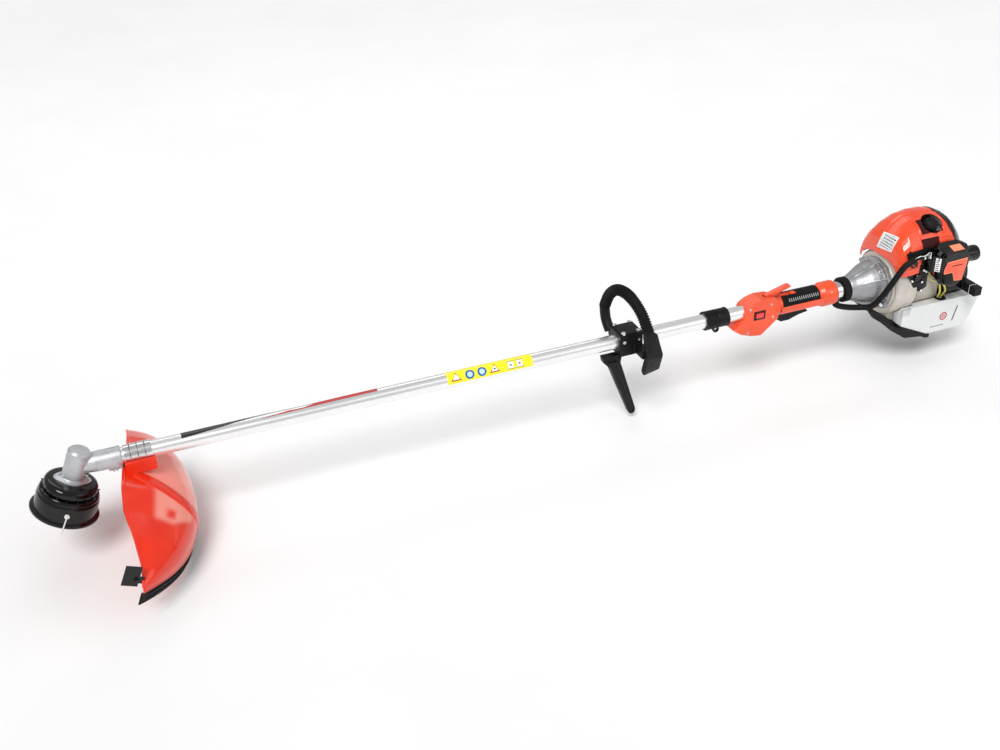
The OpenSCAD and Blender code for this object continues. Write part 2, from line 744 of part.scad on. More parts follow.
// throttle body with its cable ferrule, bracket and heat insulator
module carburettor()
    color("silver") difference() {
        union() {
            translate([crank_gap_x - 15, -50, 54]) cube([30, 3.8, 28]);
            translate([crank_gap_x - 18, -71.8, 50]) cube([36, 22, 32]);
            translate([crank_gap_x - 14, -69, 36]) cube([28, 18, 14]);
            translate([crank_gap_x - 30, -70, 66]) cube([14, 8, 14]);
            translate([1051, -72, 44]) cube([14, 4, 10]);
            translate([choke_pivot[0], -68, choke_pivot[1]]) rotate([90, 0, 0]) cylinder(h = 12, r = 2);
            translate([1013.4, -78.4, 79.4]) rotate([0, 97, 9]) cylinder(h = 50.6, r = 3.2);
        }
        translate([crank_gap_x, -60, 35]) cylinder(h = 5, r = bulb_r + 0.4);
        translate([crank_gap_x, -40, 68]) rotate([90, 0, 0]) cylinder(h = 40, r = 8);
    }

module choke_lever()
    color("black") difference() {
        side_plate([[1048, 46], [1056, 42], [1062, 48], [1058, 56], [1050, 70], [1044, 74],
                    [1041, 70], [1046, 58]], -79.8, 3);
        translate([choke_pivot[0], -70, choke_pivot[1]]) rotate([90, 0, 0]) cylinder(h = 20, r = 2 + run);
    }

module primer_bulb()
    color("gold") translate([crank_gap_x, -60, 27]) rotate_extrude() difference() {
        union() {
            translate([0, 7]) square([bulb_r, 2]);
            intersection() {
                translate([0, 8]) circle(r = bulb_r - 0.6);
                square([10, 8]);
            }
        }
        translate([-20, -10]) square([20, 40]);
    }

// outlines of the air filter's box from back to front, and the height of its front lip
filter_back = [[1051, 52], [1053, 78], [1068, 92], [1084, 99], [1106, 99], [1130, 90], [1138, 76],
               [1137, 54], [1129, 28], [1113, 12], [1094, 9], [1074, 18], [1062, 32]];
filter_middle = [[1061, 50], [1058, 82], [1070, 93], [1116, 93], [1129, 84], [1133, 73], [1131, 54],
                 [1125, 31], [1112, 15], [1094, 11], [1072, 18]];
filter_front = [[1068, 48], [1067, 78], [1073, 85], [1112, 87], [1122, 80], [1126, 70], [1125, 54],
                [1120, 33], [1111, 19], [1095, 14], [1076, 20]];
filter_lip = 85;
filter_slope = 17;

// everything above the box's sloping top
module over_filter()
    translate([1040, -98, filter_lip]) rotate([filter_slope, 0, 0]) translate([0, -20, 0])
        cube([110, 80, 40]);

module air_filter_case()
    color("black") difference() {
        side_plate(filter_back, -80, 16);
        over_filter();
        translate([1030, -72, -10]) cube([120, 20, 96]);
        translate([crank_gap_x, -60, 68]) rotate([90, 0, 0]) cylinder(h = 40, r = 8);
        translate([1000, -81, 40]) cube([64.5, 9.5, 60]);
        rod_x_offset(1119, 30, 15.4, -82, 68);
    }

// moulded lid with its turned knob at the back
module air_filter_cover()
    color("black") {
        difference() {
            union() {
                side_plate(filter_middle, -90, 9.9);
                side_plate(filter_front, -98, 8);
            }
            over_filter();
            translate([1072, -84, 32]) cube([50, 10, 50]);
        }
        rod_x_offset(1120, 32, 15, -82, 68);
    }

// a cylinder along X at a given y and z
module rod_x_offset(x, len, r, y, z)
    translate([0, y, z]) rod_x(x, len, r);

fuel_in = [[1112, -46, -40.3], [1112, -47, -36], [1110, -52, -24], [1102, -57, -4], [1094, -59, 16],
           [1091.4, -60, 30], [1091.4, -60, 35.6]];
fuel_out = [[1121, -46, -40.3], [1121, -47, -36], [1119, -56, -22], [1108, -62, -4], [1092, -64, 8],
            [1074, -63, 16], [1068.6, -60, 29], [1068.6, -60, 35.6]];

module fuel_lines()
    color("khaki") {
        swept_bar(fuel_in, 2, 8, 4);
        swept_bar(fuel_out, 2, 8, 4);
    }

tank_side = [[1019, -41], [1197, -41], [1204, -49], [1184, -98], [1172, -110.5], [1086, -110.5],
             [1019, -78.6]];
tank_inside = [[1056, -50], [1190, -50], [1196, -56], [1178, -98], [1169, -107], [1090, -107],
               [1056, -91]];
cap_x = 1205;
cap_y = 28;
cap_z = -74;

module fuel_tank()
    color("white") difference() {
        union() {
            side_plate(tank_side, -62, 124);
            rod_x_offset(cap_x - 26, 30, 15, cap_y, cap_z);
        }
        side_plate(tank_inside, -59, 118);
        rod_x_offset(cap_x - 30, 40, 11, cap_y, cap_z);
        rod_x(starter_front - 2, 60, 57);
        rod_x(980, 68, 67);
        translate([1040, -43, -49]) cube([80, 86, 20]);
        translate([1000, -34, -130]) cube([48, 120, 100]);
    }

module fuel_cap()
    color("black") difference() {
        rod_x_offset(cap_x - 2, 16, 19, cap_y, cap_z);
        rod_x_offset(cap_x - 3, 8, 15 + run, cap_y, cap_z);
        for (a = [0 : 30 : 330])
            translate([cap_x - 3, cap_y, cap_z]) rotate([a, 0, 0]) translate([0, 0, 20.4])
                rotate([0, 90, 0]) cylinder(h = 20, r = 2.4);
    }

// skid under the tank and the fan housing's leg
module tank_stand()
    color("black") difference() {
        union() {
            side_plate([[998, -68.8], [1086, -110.6], [1092, -110.6], [1092, -118.6], [1084, -118.6],
                        [995, -76]], -64, 128);
            side_plate([[1080, -110.6], [1170, -110.6], [1170, -118.6], [1080, -118.6]], -46, 92);
        }
        translate([990, -70, -130]) cube([28, 30, 70]);
    }

starter_front = 1126;
rope_x = 1160;
rope_z = -12;
pulley_r = 10;

module recoil_starter()
    color("black") difference() {
        union() {
            rod_x(starter_front, 44, 55);
            rod_x(starter_front + 44, 5, 55, 49);
            translate([rope_x - 9, -66, rope_z - 9]) cube([18, 18, 18]);
        }
        rod_x(starter_front - 1, 46, 51);
        translate([rope_x, -40, rope_z]) rotate([90, 0, 0]) cylinder(h = 40, r = 2.2);
        for (r = [20, 30, 40], a = [20 : 40 : 340])
            rotate([a, 0, 0]) rod_x_offset(starter_front + 40, 20, 2.6, 0, r);
    }

module starter_pulley()
    color("dimgray") difference() {
        union() {
            rod_x(rope_x - 5, 2.5, 19);
            rod_x(rope_x - 2.5, 5, pulley_r);
            rod_x(rope_x + 2.5, 2.5, 19);
            rod_x(rope_x - 14, 20, 7);
        }
        rod_x(rope_x - 20, 40, 4);
    }

// handle and the stretch of rope that it draws out first
module starter_grip()
    color("black") {
        difference() {
            translate([rope_x - 9, -102, rope_z - 9]) cube([18, 35.8, 18]);
            translate([rope_x, -60, rope_z]) rotate([90, 0, 0]) cylinder(h = 20, r = 1.8);
        }
        translate([rope_x, 44, rope_z]) rotate([90, 0, 0]) cylinder(h = 124, r = 1.8);
    }

drive_tube();
drive_shaft();
shaft_bearings();
gearcase();
tube_bolts();
wrap_guard();
drive_gear();
driven_gear();
arbor();
head_housing();
line_spool();
line_exits();
bump_knob();
guard_shell();
guard_saddle();
guard_clamp();
guard_skirt();
line_cutter();
loop_frame();
loop_grip();
handle_clamp();
barrier_leg();
harness_collar();
throttle_housing();
grip_pad();
throttle_trigger();
lockout_lever();
pivot_pins();
stop_switch();
throttle_conduit();
tube_clamp();
isolator_ring();
clutch_housing();
housing_bolts();
clutch_drum();
clutch_shoes();
fan_housing();
flywheel();
crankcase();
crankshaft();
cylinder_block();
piston();
connecting_rod();
spark_plug();
plug_cap();
engine_cover();
rear_cover();
muffler();
carburettor();
choke_lever();
primer_bulb();
air_filter_case();
air_filter_cover();
fuel_lines();
fuel_tank();
fuel_cap();
tank_stand();
recoil_starter();
starter_pulley();
starter_grip();
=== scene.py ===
"""Looks of the brush cutter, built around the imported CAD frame.

Lengths are in millimetres in the row frame, or in the head's or the plug's own frame where a matrix places them.
"""
import json
import math

import bpy
import bmesh
import numpy as np
from mathutils import Matrix, Vector
from mathutils.bvhtree import BVHTree


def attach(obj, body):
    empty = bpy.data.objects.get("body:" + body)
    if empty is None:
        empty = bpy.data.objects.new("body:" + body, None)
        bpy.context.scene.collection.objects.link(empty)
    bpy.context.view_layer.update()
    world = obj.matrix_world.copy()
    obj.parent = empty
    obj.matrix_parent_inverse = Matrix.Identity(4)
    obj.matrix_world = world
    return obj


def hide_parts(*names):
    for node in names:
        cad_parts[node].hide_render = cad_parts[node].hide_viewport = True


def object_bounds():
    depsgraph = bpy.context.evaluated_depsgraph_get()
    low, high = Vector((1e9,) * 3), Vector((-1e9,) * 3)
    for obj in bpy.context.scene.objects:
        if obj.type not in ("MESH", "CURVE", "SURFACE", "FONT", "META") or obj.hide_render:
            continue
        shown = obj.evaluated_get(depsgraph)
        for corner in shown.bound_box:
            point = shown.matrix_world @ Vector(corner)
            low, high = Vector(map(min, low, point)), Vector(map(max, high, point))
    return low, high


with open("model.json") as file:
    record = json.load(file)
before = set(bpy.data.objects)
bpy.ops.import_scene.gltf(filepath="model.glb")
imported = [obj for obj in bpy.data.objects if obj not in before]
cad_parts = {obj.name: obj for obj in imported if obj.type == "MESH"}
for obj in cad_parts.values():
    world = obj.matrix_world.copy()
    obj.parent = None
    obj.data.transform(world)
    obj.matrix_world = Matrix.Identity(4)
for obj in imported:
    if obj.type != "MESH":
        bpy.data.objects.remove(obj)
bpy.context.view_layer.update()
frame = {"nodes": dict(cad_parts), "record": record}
NODES = frame["nodes"]
BODY_OF = {n: b for b, ns in frame["record"]["behaviour"]["bodies"].items() for n in ns}
SLOT_OF = {s["node"]: s["material_slot"] for s in frame["record"]["subparts"]}
MM = 0.001
HEAD = Matrix.Translation((-550, 0, 0)) @ Matrix.Rotation(math.radians(23.8), 4, "Y")
PLUG = Matrix.Translation((1075, -8, 90)) @ Matrix.Rotation(math.radians(37), 4, "X")
TUBE_R = 14.0
GRIP_R = 22.0
FACING = 56.7          # degrees from up towards the air filter's side, where most of the tube is seen


# ------------------------------------------------------------------ materials

class Shader:
    """A node material with one principled shader and short names for the nodes that feed it."""

    def __init__(self, name):
        self.mat = bpy.data.materials.new(name)
        self.mat.use_nodes = True
        self.tree = self.mat.node_tree
        self.bsdf = self.tree.nodes["Principled BSDF"]
        self.place = self.add("ShaderNodeTexCoord").outputs["Object"]

    def add(self, kind, **settings):
        node = self.tree.nodes.new(kind)
        for key, value in settings.items():
            setattr(node, key, value)
        return node

    def feed(self, socket, value):
        if isinstance(value, bpy.types.NodeSocket):
            self.tree.links.new(value, socket)
        elif isinstance(value, (tuple, list)) and len(value) == 3 and len(socket.default_value) == 4:
            socket.default_value = (*value, 1)
        else:
            socket.default_value = value

    def noise(self, scale, detail=3, stretch=(1, 1, 1)):
        fit = self.add("ShaderNodeMapping")
        fit.inputs["Scale"].default_value = stretch
        self.feed(fit.inputs["Vector"], self.place)
        node = self.add("ShaderNodeTexNoise")
        self.feed(node.inputs["Vector"], fit.outputs[0])
        self.feed(node.inputs["Scale"], scale)
        self.feed(node.inputs["Detail"], detail)
        return node.outputs["Fac"]

    def calc(self, how, a, b=0.0, c=0.0):
        node = self.add("ShaderNodeMath", operation=how)
        for socket, value in zip(node.inputs, (a, b, c)):
            self.feed(socket, value)
        return node.outputs[0]

    def span(self, fac, low, high, to_low, to_high):
        node = self.add("ShaderNodeMapRange")
        for key, value in (("Value", fac), ("From Min", low), ("From Max", high),
                           ("To Min", to_low), ("To Max", to_high)):
            self.feed(node.inputs[key], value)
        return node.outputs[0]

    def blend(self, fac, a, b):
        node = self.add("ShaderNodeMix", data_type="RGBA")
        self.feed(node.inputs[0], fac)
        self.feed(node.inputs[6], a)
        self.feed(node.inputs[7], b)
        return node.outputs[2]

    def axis(self, i):
        node = self.add("ShaderNodeSeparateXYZ")
        self.feed(node.inputs[0], self.place)
        return node.outputs[i]

    def bump(self, height, strength, depth_mm, under=None):
        node = self.add("ShaderNodeBump")
        self.feed(node.inputs["Height"], height)
        self.feed(node.inputs["Strength"], strength)
        self.feed(node.inputs["Distance"], depth_mm * MM)
        if under is not None:
            self.feed(node.inputs["Normal"], under)
        return node.outputs[0]

    def set(self, **values):
        names = {"color": "Base Color", "rough": "Roughness", "metal": "Metallic", "normal": "Normal",
                 "coat": "Coat Weight", "coat_rough": "Coat Roughness", "sss": "Subsurface Weight",
                 "clear": "Transmission Weight", "ior": "IOR", "aniso": "Anisotropic",
                 "painted_light": "Emission Color", "glow_power": "Emission Strength", "spec": "Specular IOR Level",
                 "sheen": "Sheen Weight"}
        for key, value in values.items():
            self.feed(self.bsdf.inputs[names[key]], value)
        return self.mat


def moulded(name, color, rough=0.4, grain=0.25, grain_size=1400, coat=0.0, shift=0.12, edge=0.3, **extra):
    """Moulded plastic or rubber: fine grain, slow shifts of tone and gloss, and paler sharp edges."""
    s = Shader(name)
    slow, fine = s.noise(22, 4), s.noise(grain_size, 2)
    dark = tuple(c * (1 - shift) for c in color)
    light = tuple(min(1, c * (1 + shift) + 0.01 * shift) for c in color)
    tone = s.blend(s.span(slow, 0.35, 0.65, 0, 1), dark, light)
    # paler colour on sharp edges, found from pointiness
    sharp_edge_mask = s.span(s.add("ShaderNodeNewGeometry").outputs["Pointiness"], 0.52, 0.62, 0, edge)
    tone = s.blend(sharp_edge_mask, tone, tuple(min(1, c * 1.5 + 0.05) for c in color))
    gloss = s.span(s.noise(60, 5), 0.3, 0.7, rough * 0.85, rough * 1.2)
    return s.set(color=tone, rough=gloss, coat=coat, coat_rough=0.06,
                 normal=s.bump(fine, grain, 0.08), **extra)


def metal(name, color, rough=0.35, grain=0.2, grain_size=900, stretch=(1, 1, 1), metallic=1.0, shift=0.1, **extra):
    """Cast, drawn or plated metal with its grain, stains and brighter edges."""
    s = Shader(name)
    slow, fine = s.noise(35, 5), s.noise(grain_size, 3, stretch)
    dark, light = tuple(c * (1 - shift) for c in color), tuple(min(1, c * (1 + shift)) for c in color)
    tone = s.blend(s.span(slow, 0.35, 0.65, 0, 1), dark, light)
    # brighter colour on sharp edges, found from pointiness
    sharp_edge_mask = s.span(s.add("ShaderNodeNewGeometry").outputs["Pointiness"], 0.51, 0.6, 0, 0.5)
    tone = s.blend(sharp_edge_mask, tone, tuple(min(1, c * 1.25) for c in color))
    gloss = s.span(s.noise(grain_size * 0.2, 4, stretch), 0.3, 0.7, rough * 0.8, rough * 1.25)
    return s.set(color=tone, rough=gloss, metal=metallic, normal=s.bump(fine, grain, 0.06), **extra)


def striped(name, color, other, axis, pitch, rough=0.3):
    """A printed plate: pale ground with rows of short dashes that stand for its print."""
    s = Shader(name)
    rows = s.calc("FRACT", s.calc("DIVIDE", s.axis(axis), pitch * MM))
    row = s.calc("LESS_THAN", rows, 0.42)
    broken = s.calc("GREATER_THAN", s.noise(420, 1), 0.44)
    tone = s.blend(s.calc("MULTIPLY", row, broken), color, other)
    return s.set(color=tone, rough=s.span(s.noise(90), 0.3, 0.7, rough * 0.8, rough * 1.2), coat=0.4,
                 normal=s.bump(s.noise(500), 0.05, 0.05))


def guard_skin_material():
    """Glossy orange-red, paler with painted reflection: a highlight zone inside the rim and a highlight patch below
    the crest.
    """
    s = Shader("guard_plastic")
    highlight_zone = s.add("ShaderNodeAttribute", attribute_name="painted_light").outputs["Fac"]
    slow = s.span(s.noise(22, 4), 0.35, 0.65, 0, 1)
    tone = s.blend(slow, (0.78, 0.022, 0.002), (0.86, 0.030, 0.003))
    # the pale colour here is painted reflection, mixed in by the stored mask
    tone = s.blend(highlight_zone, tone, (0.92, 0.30, 0.24))
    gloss = s.span(s.noise(60, 5), 0.3, 0.7, 0.13, 0.18)
    return s.set(color=tone, rough=gloss, coat=0.45, coat_rough=0.06, spec=0.35,
                 normal=s.bump(s.noise(500, 2), 0.05, 0.08))


M = {
    "tube_aluminium": metal("tube_aluminium", (0.86, 0.87, 0.88), 0.27, 0.08, 500, (0.02, 1, 1), 0.85, 0.03,
                            aniso=0.5),
    "cast_aluminium": metal("cast_aluminium", (0.56, 0.57, 0.59), 0.42, 0.5, 1100, metallic=0.75, shift=0.12),
    "steel": metal("steel", (0.50, 0.50, 0.52), 0.3, 0.15, 700, shift=0.15),
    "bright_steel": metal("bright_steel", (0.80, 0.80, 0.82), 0.18, 0.08, 600, shift=0.06),
    "black_plastic": moulded("black_plastic", (0.0035, 0.0035, 0.004), 0.46, 0.45, coat=0.04, edge=0.02, spec=0.22),
    "gloss_black": moulded("gloss_black", (0.002, 0.002, 0.0025), 0.12, 0.06, coat=0.32, edge=0.0, spec=0.25),
    "black_rubber": moulded("black_rubber", (0.004, 0.004, 0.0045), 0.6, 0.6, 900, edge=0.02, spec=0.2),
    "orange_plastic": moulded("orange_plastic", (0.86, 0.062, 0.010), 0.24, 0.1, 700, coat=0.6, shift=0.08,
                              edge=0.15),
    "guard_plastic": guard_skin_material(),
    "guard_crest": moulded("guard_crest", (0.78, 0.024, 0.003), 0.2, 0.06, 500, coat=0.4, shift=0.06, edge=0.15),
    "grip_orange": moulded("grip_orange", (0.84, 0.072, 0.012), 0.34, 0.3, coat=0.35, shift=0.08, edge=0.15),
    "tank_white": moulded("tank_white", (0.70, 0.72, 0.71), 0.38, 0.15, coat=0.2, shift=0.02, edge=0.05),
    "nylon": moulded("nylon", (0.80, 0.80, 0.76), 0.35, 0.1, edge=0.1),
    "fuel_hose": moulded("fuel_hose", (0.72, 0.66, 0.10), 0.3, 0.1, coat=0.5, edge=0.1),
    "switch_red": moulded("switch_red", (0.75, 0.012, 0.02), 0.2, 0.05, coat=0.8, edge=0.2),
    "primer_rubber": moulded("primer_rubber", (0.75, 0.55, 0.06), 0.35, 0.1, coat=0.4),
    "muffler_steel": metal("muffler_steel", (0.22, 0.21, 0.20), 0.5, 0.5, 800, shift=0.25),
    "fan_casting": metal("fan_casting", (0.60, 0.555, 0.50), 0.5, 0.6, 1000, metallic=0.45, shift=0.08),
    "cone_casting": metal("cone_casting", (0.36, 0.365, 0.375), 0.46, 0.8, 1300, metallic=0.8, shift=0.14),
    "label_yellow": moulded("label_yellow", (0.95, 0.86, 0.01), 0.35, 0.03, coat=0.5, shift=0.04, edge=0.0),
    "label_white": moulded("label_white", (0.88, 0.88, 0.86), 0.35, 0.03, coat=0.4, shift=0.02, edge=0.0),
    "label_blue": moulded("label_blue", (0.02, 0.12, 0.42), 0.35, 0.03, coat=0.5, shift=0.08, edge=0.0),
    "label_pale": moulded("label_pale", (0.50, 0.76, 0.92), 0.35, 0.03, coat=0.5, shift=0.05, edge=0.0),
    "label_red": moulded("label_red", (0.48, 0.008, 0.008), 0.35, 0.03, coat=0.5, shift=0.06, edge=0.0),
    "label_black": moulded("label_black", (0.005, 0.005, 0.0055), 0.3, 0.03, coat=0.5, shift=0.1, edge=0.0),
    "wire_red": moulded("wire_red", (0.70, 0.02, 0.02), 0.35, 0.05, coat=0.4),
    # dark red painted shade, for places where shade falls on the red plastic
    "painted_shade": moulded("painted_shade", (0.04, 0.003, 0.002), 0.6, 0.3, edge=0.05, spec=0.2),
    "panel_orange": moulded("panel_orange", (0.88, 0.085, 0.025), 0.3, 0.1, coat=0.6, shift=0.06),
    # pale orange used as painted highlight: the panel's bright rim and the lit top square
    "painted_highlight_orange": moulded("painted_highlight_orange", (0.92, 0.26, 0.13), 0.3, 0.1, coat=0.6, shift=0.05),
    "plate_print": striped("plate_print", (0.74, 0.76, 0.76), (0.10, 0.12, 0.14), 2, 5.2),
}


# ------------------------------------------------------------------ mesh helpers

def add_piece(name, mesh, material, body, stands_for=(), sharp=40):
    mesh.materials.clear()
    mesh.materials.append(M[material])
    mesh.shade_smooth()
    if sharp:
        mesh.set_sharp_from_angle(angle=math.radians(sharp))
    o = bpy.data.objects.new(name, mesh)
    bpy.context.scene.collection.objects.link(o)
    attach(o, body)
    if stands_for:
        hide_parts(*stands_for)
    return o


def mesh_of(name, points, faces, place=None, fix=True):
    """A mesh from millimetre points, put in place by a millimetre matrix."""
    if place is not None:
        points = [place @ Vector(p) for p in points]
    mesh = bpy.data.meshes.new(name)
    mesh.from_pydata([tuple(c * MM for c in p) for p in points], [], faces)
    if fix:
        bm = bmesh.new()
        bm.from_mesh(mesh)
        bmesh.ops.recalc_face_normals(bm, faces=bm.faces)
        bm.to_mesh(mesh)
        bm.free()
    mesh.validate()
    return mesh


def join(name, meshes):
    bm = bmesh.new()
    for m in meshes:
        bm.from_mesh(m)
    out = bpy.data.meshes.new(name)
    bm.to_mesh(out)
    bm.free()
    return out


def lathe(name, profile, place, sides=96):
    """A closed profile of (radius, height) turned about the local Z axis."""
    n = len(profile)
    points = [(r * math.cos(2 * math.pi * k / sides), r * math.sin(2 * math.pi * k / sides), h)
              for k in range(sides) for r, h in profile]
    faces = [(k * n + i, ((k + 1) % sides) * n + i, ((k + 1) % sides) * n + (i + 1) % n, k * n + (i + 1) % n)
             for k in range(sides) for i in range(n)]
    return mesh_of(name, points, faces, place)


def eased(points, steps):
    """A Catmull-Rom line through the points."""
    p = [Vector(q) for q in points]
    out = []
    for i in range(len(p) - 1):
        a, b, c, d = p[max(i - 1, 0)], p[i], p[i + 1], p[min(i + 2, len(p) - 1)]
        for s in range(steps):
            t = s / steps
            out.append(0.5 * (2 * b + (c - a) * t + (2 * a - 5 * b + 4 * c - d) * t * t
                              + (3 * b - a - 3 * c + d) * t ** 3))
    return out + [p[-1]]


def sweep(name, points, radius, sides=12, steps=6, closed=False, flat=1.0):
    """A round bar along points; radius is a number or a function of the share of the way along."""
    line = eased(points, steps) if steps else [Vector(q) for q in points]
    n = len(line)
    verts, up = [], Vector((0.13, 0.21, 0.97))
    for i, c in enumerate(line):
        ahead = line[(i + 1) % n] if closed else line[min(i + 1, n - 1)]
        back = line[i - 1] if closed else line[max(i - 1, 0)]
        t = (ahead - back).normalized()
        u = (up - t * up.dot(t)).normalized()
        up = u
        v = t.cross(u)
        r = radius(i / (n - 1)) if callable(radius) else radius
        for k in range(sides):
            a = 2 * math.pi * k / sides
            verts.append(c + u * (r * math.cos(a)) + v * (r * flat * math.sin(a)))
    faces = [(i * sides + k, i * sides + (k + 1) % sides,
              ((i + 1) % n) * sides + (k + 1) % sides, ((i + 1) % n) * sides + k)
             for i in range(n if closed else n - 1) for k in range(sides)]
    if not closed:
        faces += [tuple(range(sides)), tuple(range((n - 1) * sides, n * sides))]
    return mesh_of(name, verts, faces)


def slab(name, outline, low, high, place, soft=0.8, steps=2):
    """An extruded outline with eased edges; the outline is in local X and Y, its depth in local Z."""
    bm = bmesh.new()
    ring = [bm.verts.new((x, y, low)) for x, y in outline]
    face = bm.faces.new(ring)
    top = bmesh.ops.extrude_face_region(bm, geom=[face])
    bmesh.ops.translate(bm, verts=[v for v in top["geom"] if isinstance(v, bmesh.types.BMVert)],
                        vec=(0, 0, high - low))
    bmesh.ops.recalc_face_normals(bm, faces=bm.faces)
    if soft:
        bmesh.ops.bevel(bm, geom=bm.edges[:], offset=soft, segments=steps, affect="EDGES", profile=0.6)
    bmesh.ops.transform(bm, matrix=Matrix.Scale(MM, 4) @ place, verts=bm.verts)
    bmesh.ops.recalc_face_normals(bm, faces=bm.faces)
    mesh = bpy.data.meshes.new(name)
    bm.to_mesh(mesh)
    bm.free()
    return mesh


def box_mesh(name, low, high, soft=0.8, place=None):
    x0, y0, z0 = low
    x1, y1, z1 = high
    return slab(name, [(x0, y0), (x1, y0), (x1, y1), (x0, y1)], z0, z1, place or Matrix.Identity(4), soft)


def smooth_copy(node, voxel, rounds=3, keep=0.3, shape=None):
    """The CAD node's shape as one skin with eased edges, sculpted by shape(points, normals) in millimetres."""
    bm = bmesh.new()
    bm.from_mesh(NODES[node].data)
    bmesh.ops.remove_doubles(bm, verts=bm.verts, dist=1e-6)
    mesh = bpy.data.meshes.new(node + "_skin")
    bm.to_mesh(mesh)
    bm.free()
    o = bpy.data.objects.new(node + "_work", mesh)
    bpy.context.scene.collection.objects.link(o)
    remesh = o.modifiers.new("remesh", "REMESH")
    remesh.mode, remesh.voxel_size = "VOXEL", voxel * MM
    if rounds:
        ease = o.modifiers.new("ease", "SMOOTH")
        ease.factor, ease.iterations = 0.5, rounds

    def bake():
        bpy.context.view_layer.update()
        dg = bpy.context.evaluated_depsgraph_get()
        made = bpy.data.meshes.new_from_object(o.evaluated_get(dg))
        o.modifiers.clear()
        o.data = made
        return made

    made = bake()
    if shape is not None:
        n = len(made.vertices)
        co, no = np.zeros(n * 3), np.zeros(n * 3)
        made.vertices.foreach_get("co", co)
        made.vertex_normals.foreach_get("vector", no)
        moved = shape(co.reshape(-1, 3) / MM, no.reshape(-1, 3)) * MM
        made.vertices.foreach_set("co", moved.ravel())
        made.update()
    if keep < 1:
        thin = o.modifiers.new("thin", "DECIMATE")
        thin.ratio = keep
        made = bake()
    bpy.data.objects.remove(o)
    return made


def eased_node(node, voxel=0.9, rounds=3, keep=0.3, material=None, shape=None, sharp=0):
    """Shows a CAD node as its eased skin."""
    return add_piece(node + "_skin", smooth_copy(node, voxel, rounds, keep, shape), material or SLOT_OF[node],
                     BODY_OF[node], [node], sharp)


def screw(name, at, axis, radius=3, tall=1.6, kind="cross"):
    """A domed screw head with its drive, its base at a point and its axis along a direction."""
    place = Matrix.Translation(at) @ Vector(axis).to_track_quat("Z", "Y").to_matrix().to_4x4()
    r = radius
    head = lathe(name, [(0.001, 0), (r, 0), (r, tall * 0.4), (r * 0.85, tall * 0.8), (r * 0.5, tall),
                        (0.001, tall)] if kind == "cross" else
                 [(r * 0.55, 0), (r, 0), (r, tall * 0.8), (r * 0.9, tall), (r * 0.55, tall),
                  (r * 0.5, tall * 0.35), (0.001, tall * 0.35), (0.001, 0)], place, 6 if kind == "hex" else 24)
    if kind != "cross":
        return head
    bars = [box_mesh(name, (-r * 0.6, -r * 0.1, tall * 0.9), (r * 0.6, r * 0.1, tall * 1.06), 0, place @ turn)
            for turn in (Matrix.Identity(4), Matrix.Rotation(math.pi / 2, 4, "Z"))]
    return join(name, [head] + bars)


def on_tube(x, turn, lift):
    a = math.radians(turn)
    r = TUBE_R + lift
    return (x, -r * math.sin(a), r * math.cos(a))


def tube_patch(name, rows, lift, cols=24):
    """A thin wrap on the tube from rows of (x, first turn, last turn), with its small thickness."""
    n = len(rows)
    grid = [[(x, a + (b - a) * j / cols) for j in range(cols + 1)] for x, a, b in rows]
    points = [on_tube(x, t, lift) for row in grid for x, t in row] + \
             [on_tube(x, t, lift - 0.06) for row in grid for x, t in row]
    w, half = cols + 1, n * (cols + 1)
    faces = []
    for i in range(n - 1):
        for j in range(cols):
            a, b, c, d = i * w + j, (i + 1) * w + j, (i + 1) * w + j + 1, i * w + j + 1
            faces += [(a, b, c, d), (half + d, half + c, half + b, half + a)]
        for j in (0, cols):
            a, b = i * w + j, (i + 1) * w + j
            faces.append((a, b, half + b, half + a))
    for i in (0, n - 1):
        for j in range(cols):
            a, b = i * w + j, i * w + j + 1
            faces.append((a, b, half + b, half + a))
    return mesh_of(name, points, faces)


def tube_shape(name, x, turn, outline, lift):
    """A small flat sign bent round the tube: the outline is in mm along and round the tube."""
    rings = 5
    points = [on_tube(x, turn, lift)]
    n = len(outline)
    for k in range(1, rings + 1):
        for u, v in outline:
            points.append(on_tube(x + u * k / rings, turn + math.degrees(v * k / rings / TUBE_R), lift))
    faces = [(0, 1 + i, 1 + (i + 1) % n) for i in range(n)]
    for k in range(rings - 1):
        for i in range(n):
            a, b = 1 + k * n + i, 1 + k * n + (i + 1) % n
            faces.append((a, a + n, b + n, b))
    return mesh_of(name, points, faces)


def disc(r, n=32):
    return [(r * math.cos(2 * math.pi * i / n), r * math.sin(2 * math.pi * i / n)) for i in range(n)]


def triangle(r):
    corners = [(0, -r), (0.95 * r, 0.62 * r), (-0.95 * r, 0.62 * r)]
    out = []
    for i in range(3):
        (ax, ay), (bx, by) = corners[i], corners[(i + 1) % 3]
        out += [(ax + (bx - ax) * t, ay + (by - ay) * t) for t in (0.06, 0.25, 0.5, 0.75, 0.94)]
    return out


def square(r):
    return [(-r, -r * 0.9), (-r * 0.9, -r), (0, -r), (r * 0.9, -r), (r, -r * 0.9), (r, 0), (r, r * 0.9), (r * 0.9, r),
            (0, r), (-r * 0.9, r), (-r, r * 0.9), (-r, 0)]


# ------------------------------------------------------------------ materials on the CAD nodes

for node, o in NODES.items():
    o.data.materials.clear()
    o.data.materials.append(M[SLOT_OF[node]])
    o.data.shade_smooth()
    o.data.set_sharp_from_angle(angle=math.radians(32))
for node in ("fan_housing", "crankcase"):
    NODES[node].data.materials[0] = M["fan_casting"]

# ------------------------------------------------------------------ drive tube and its wraps

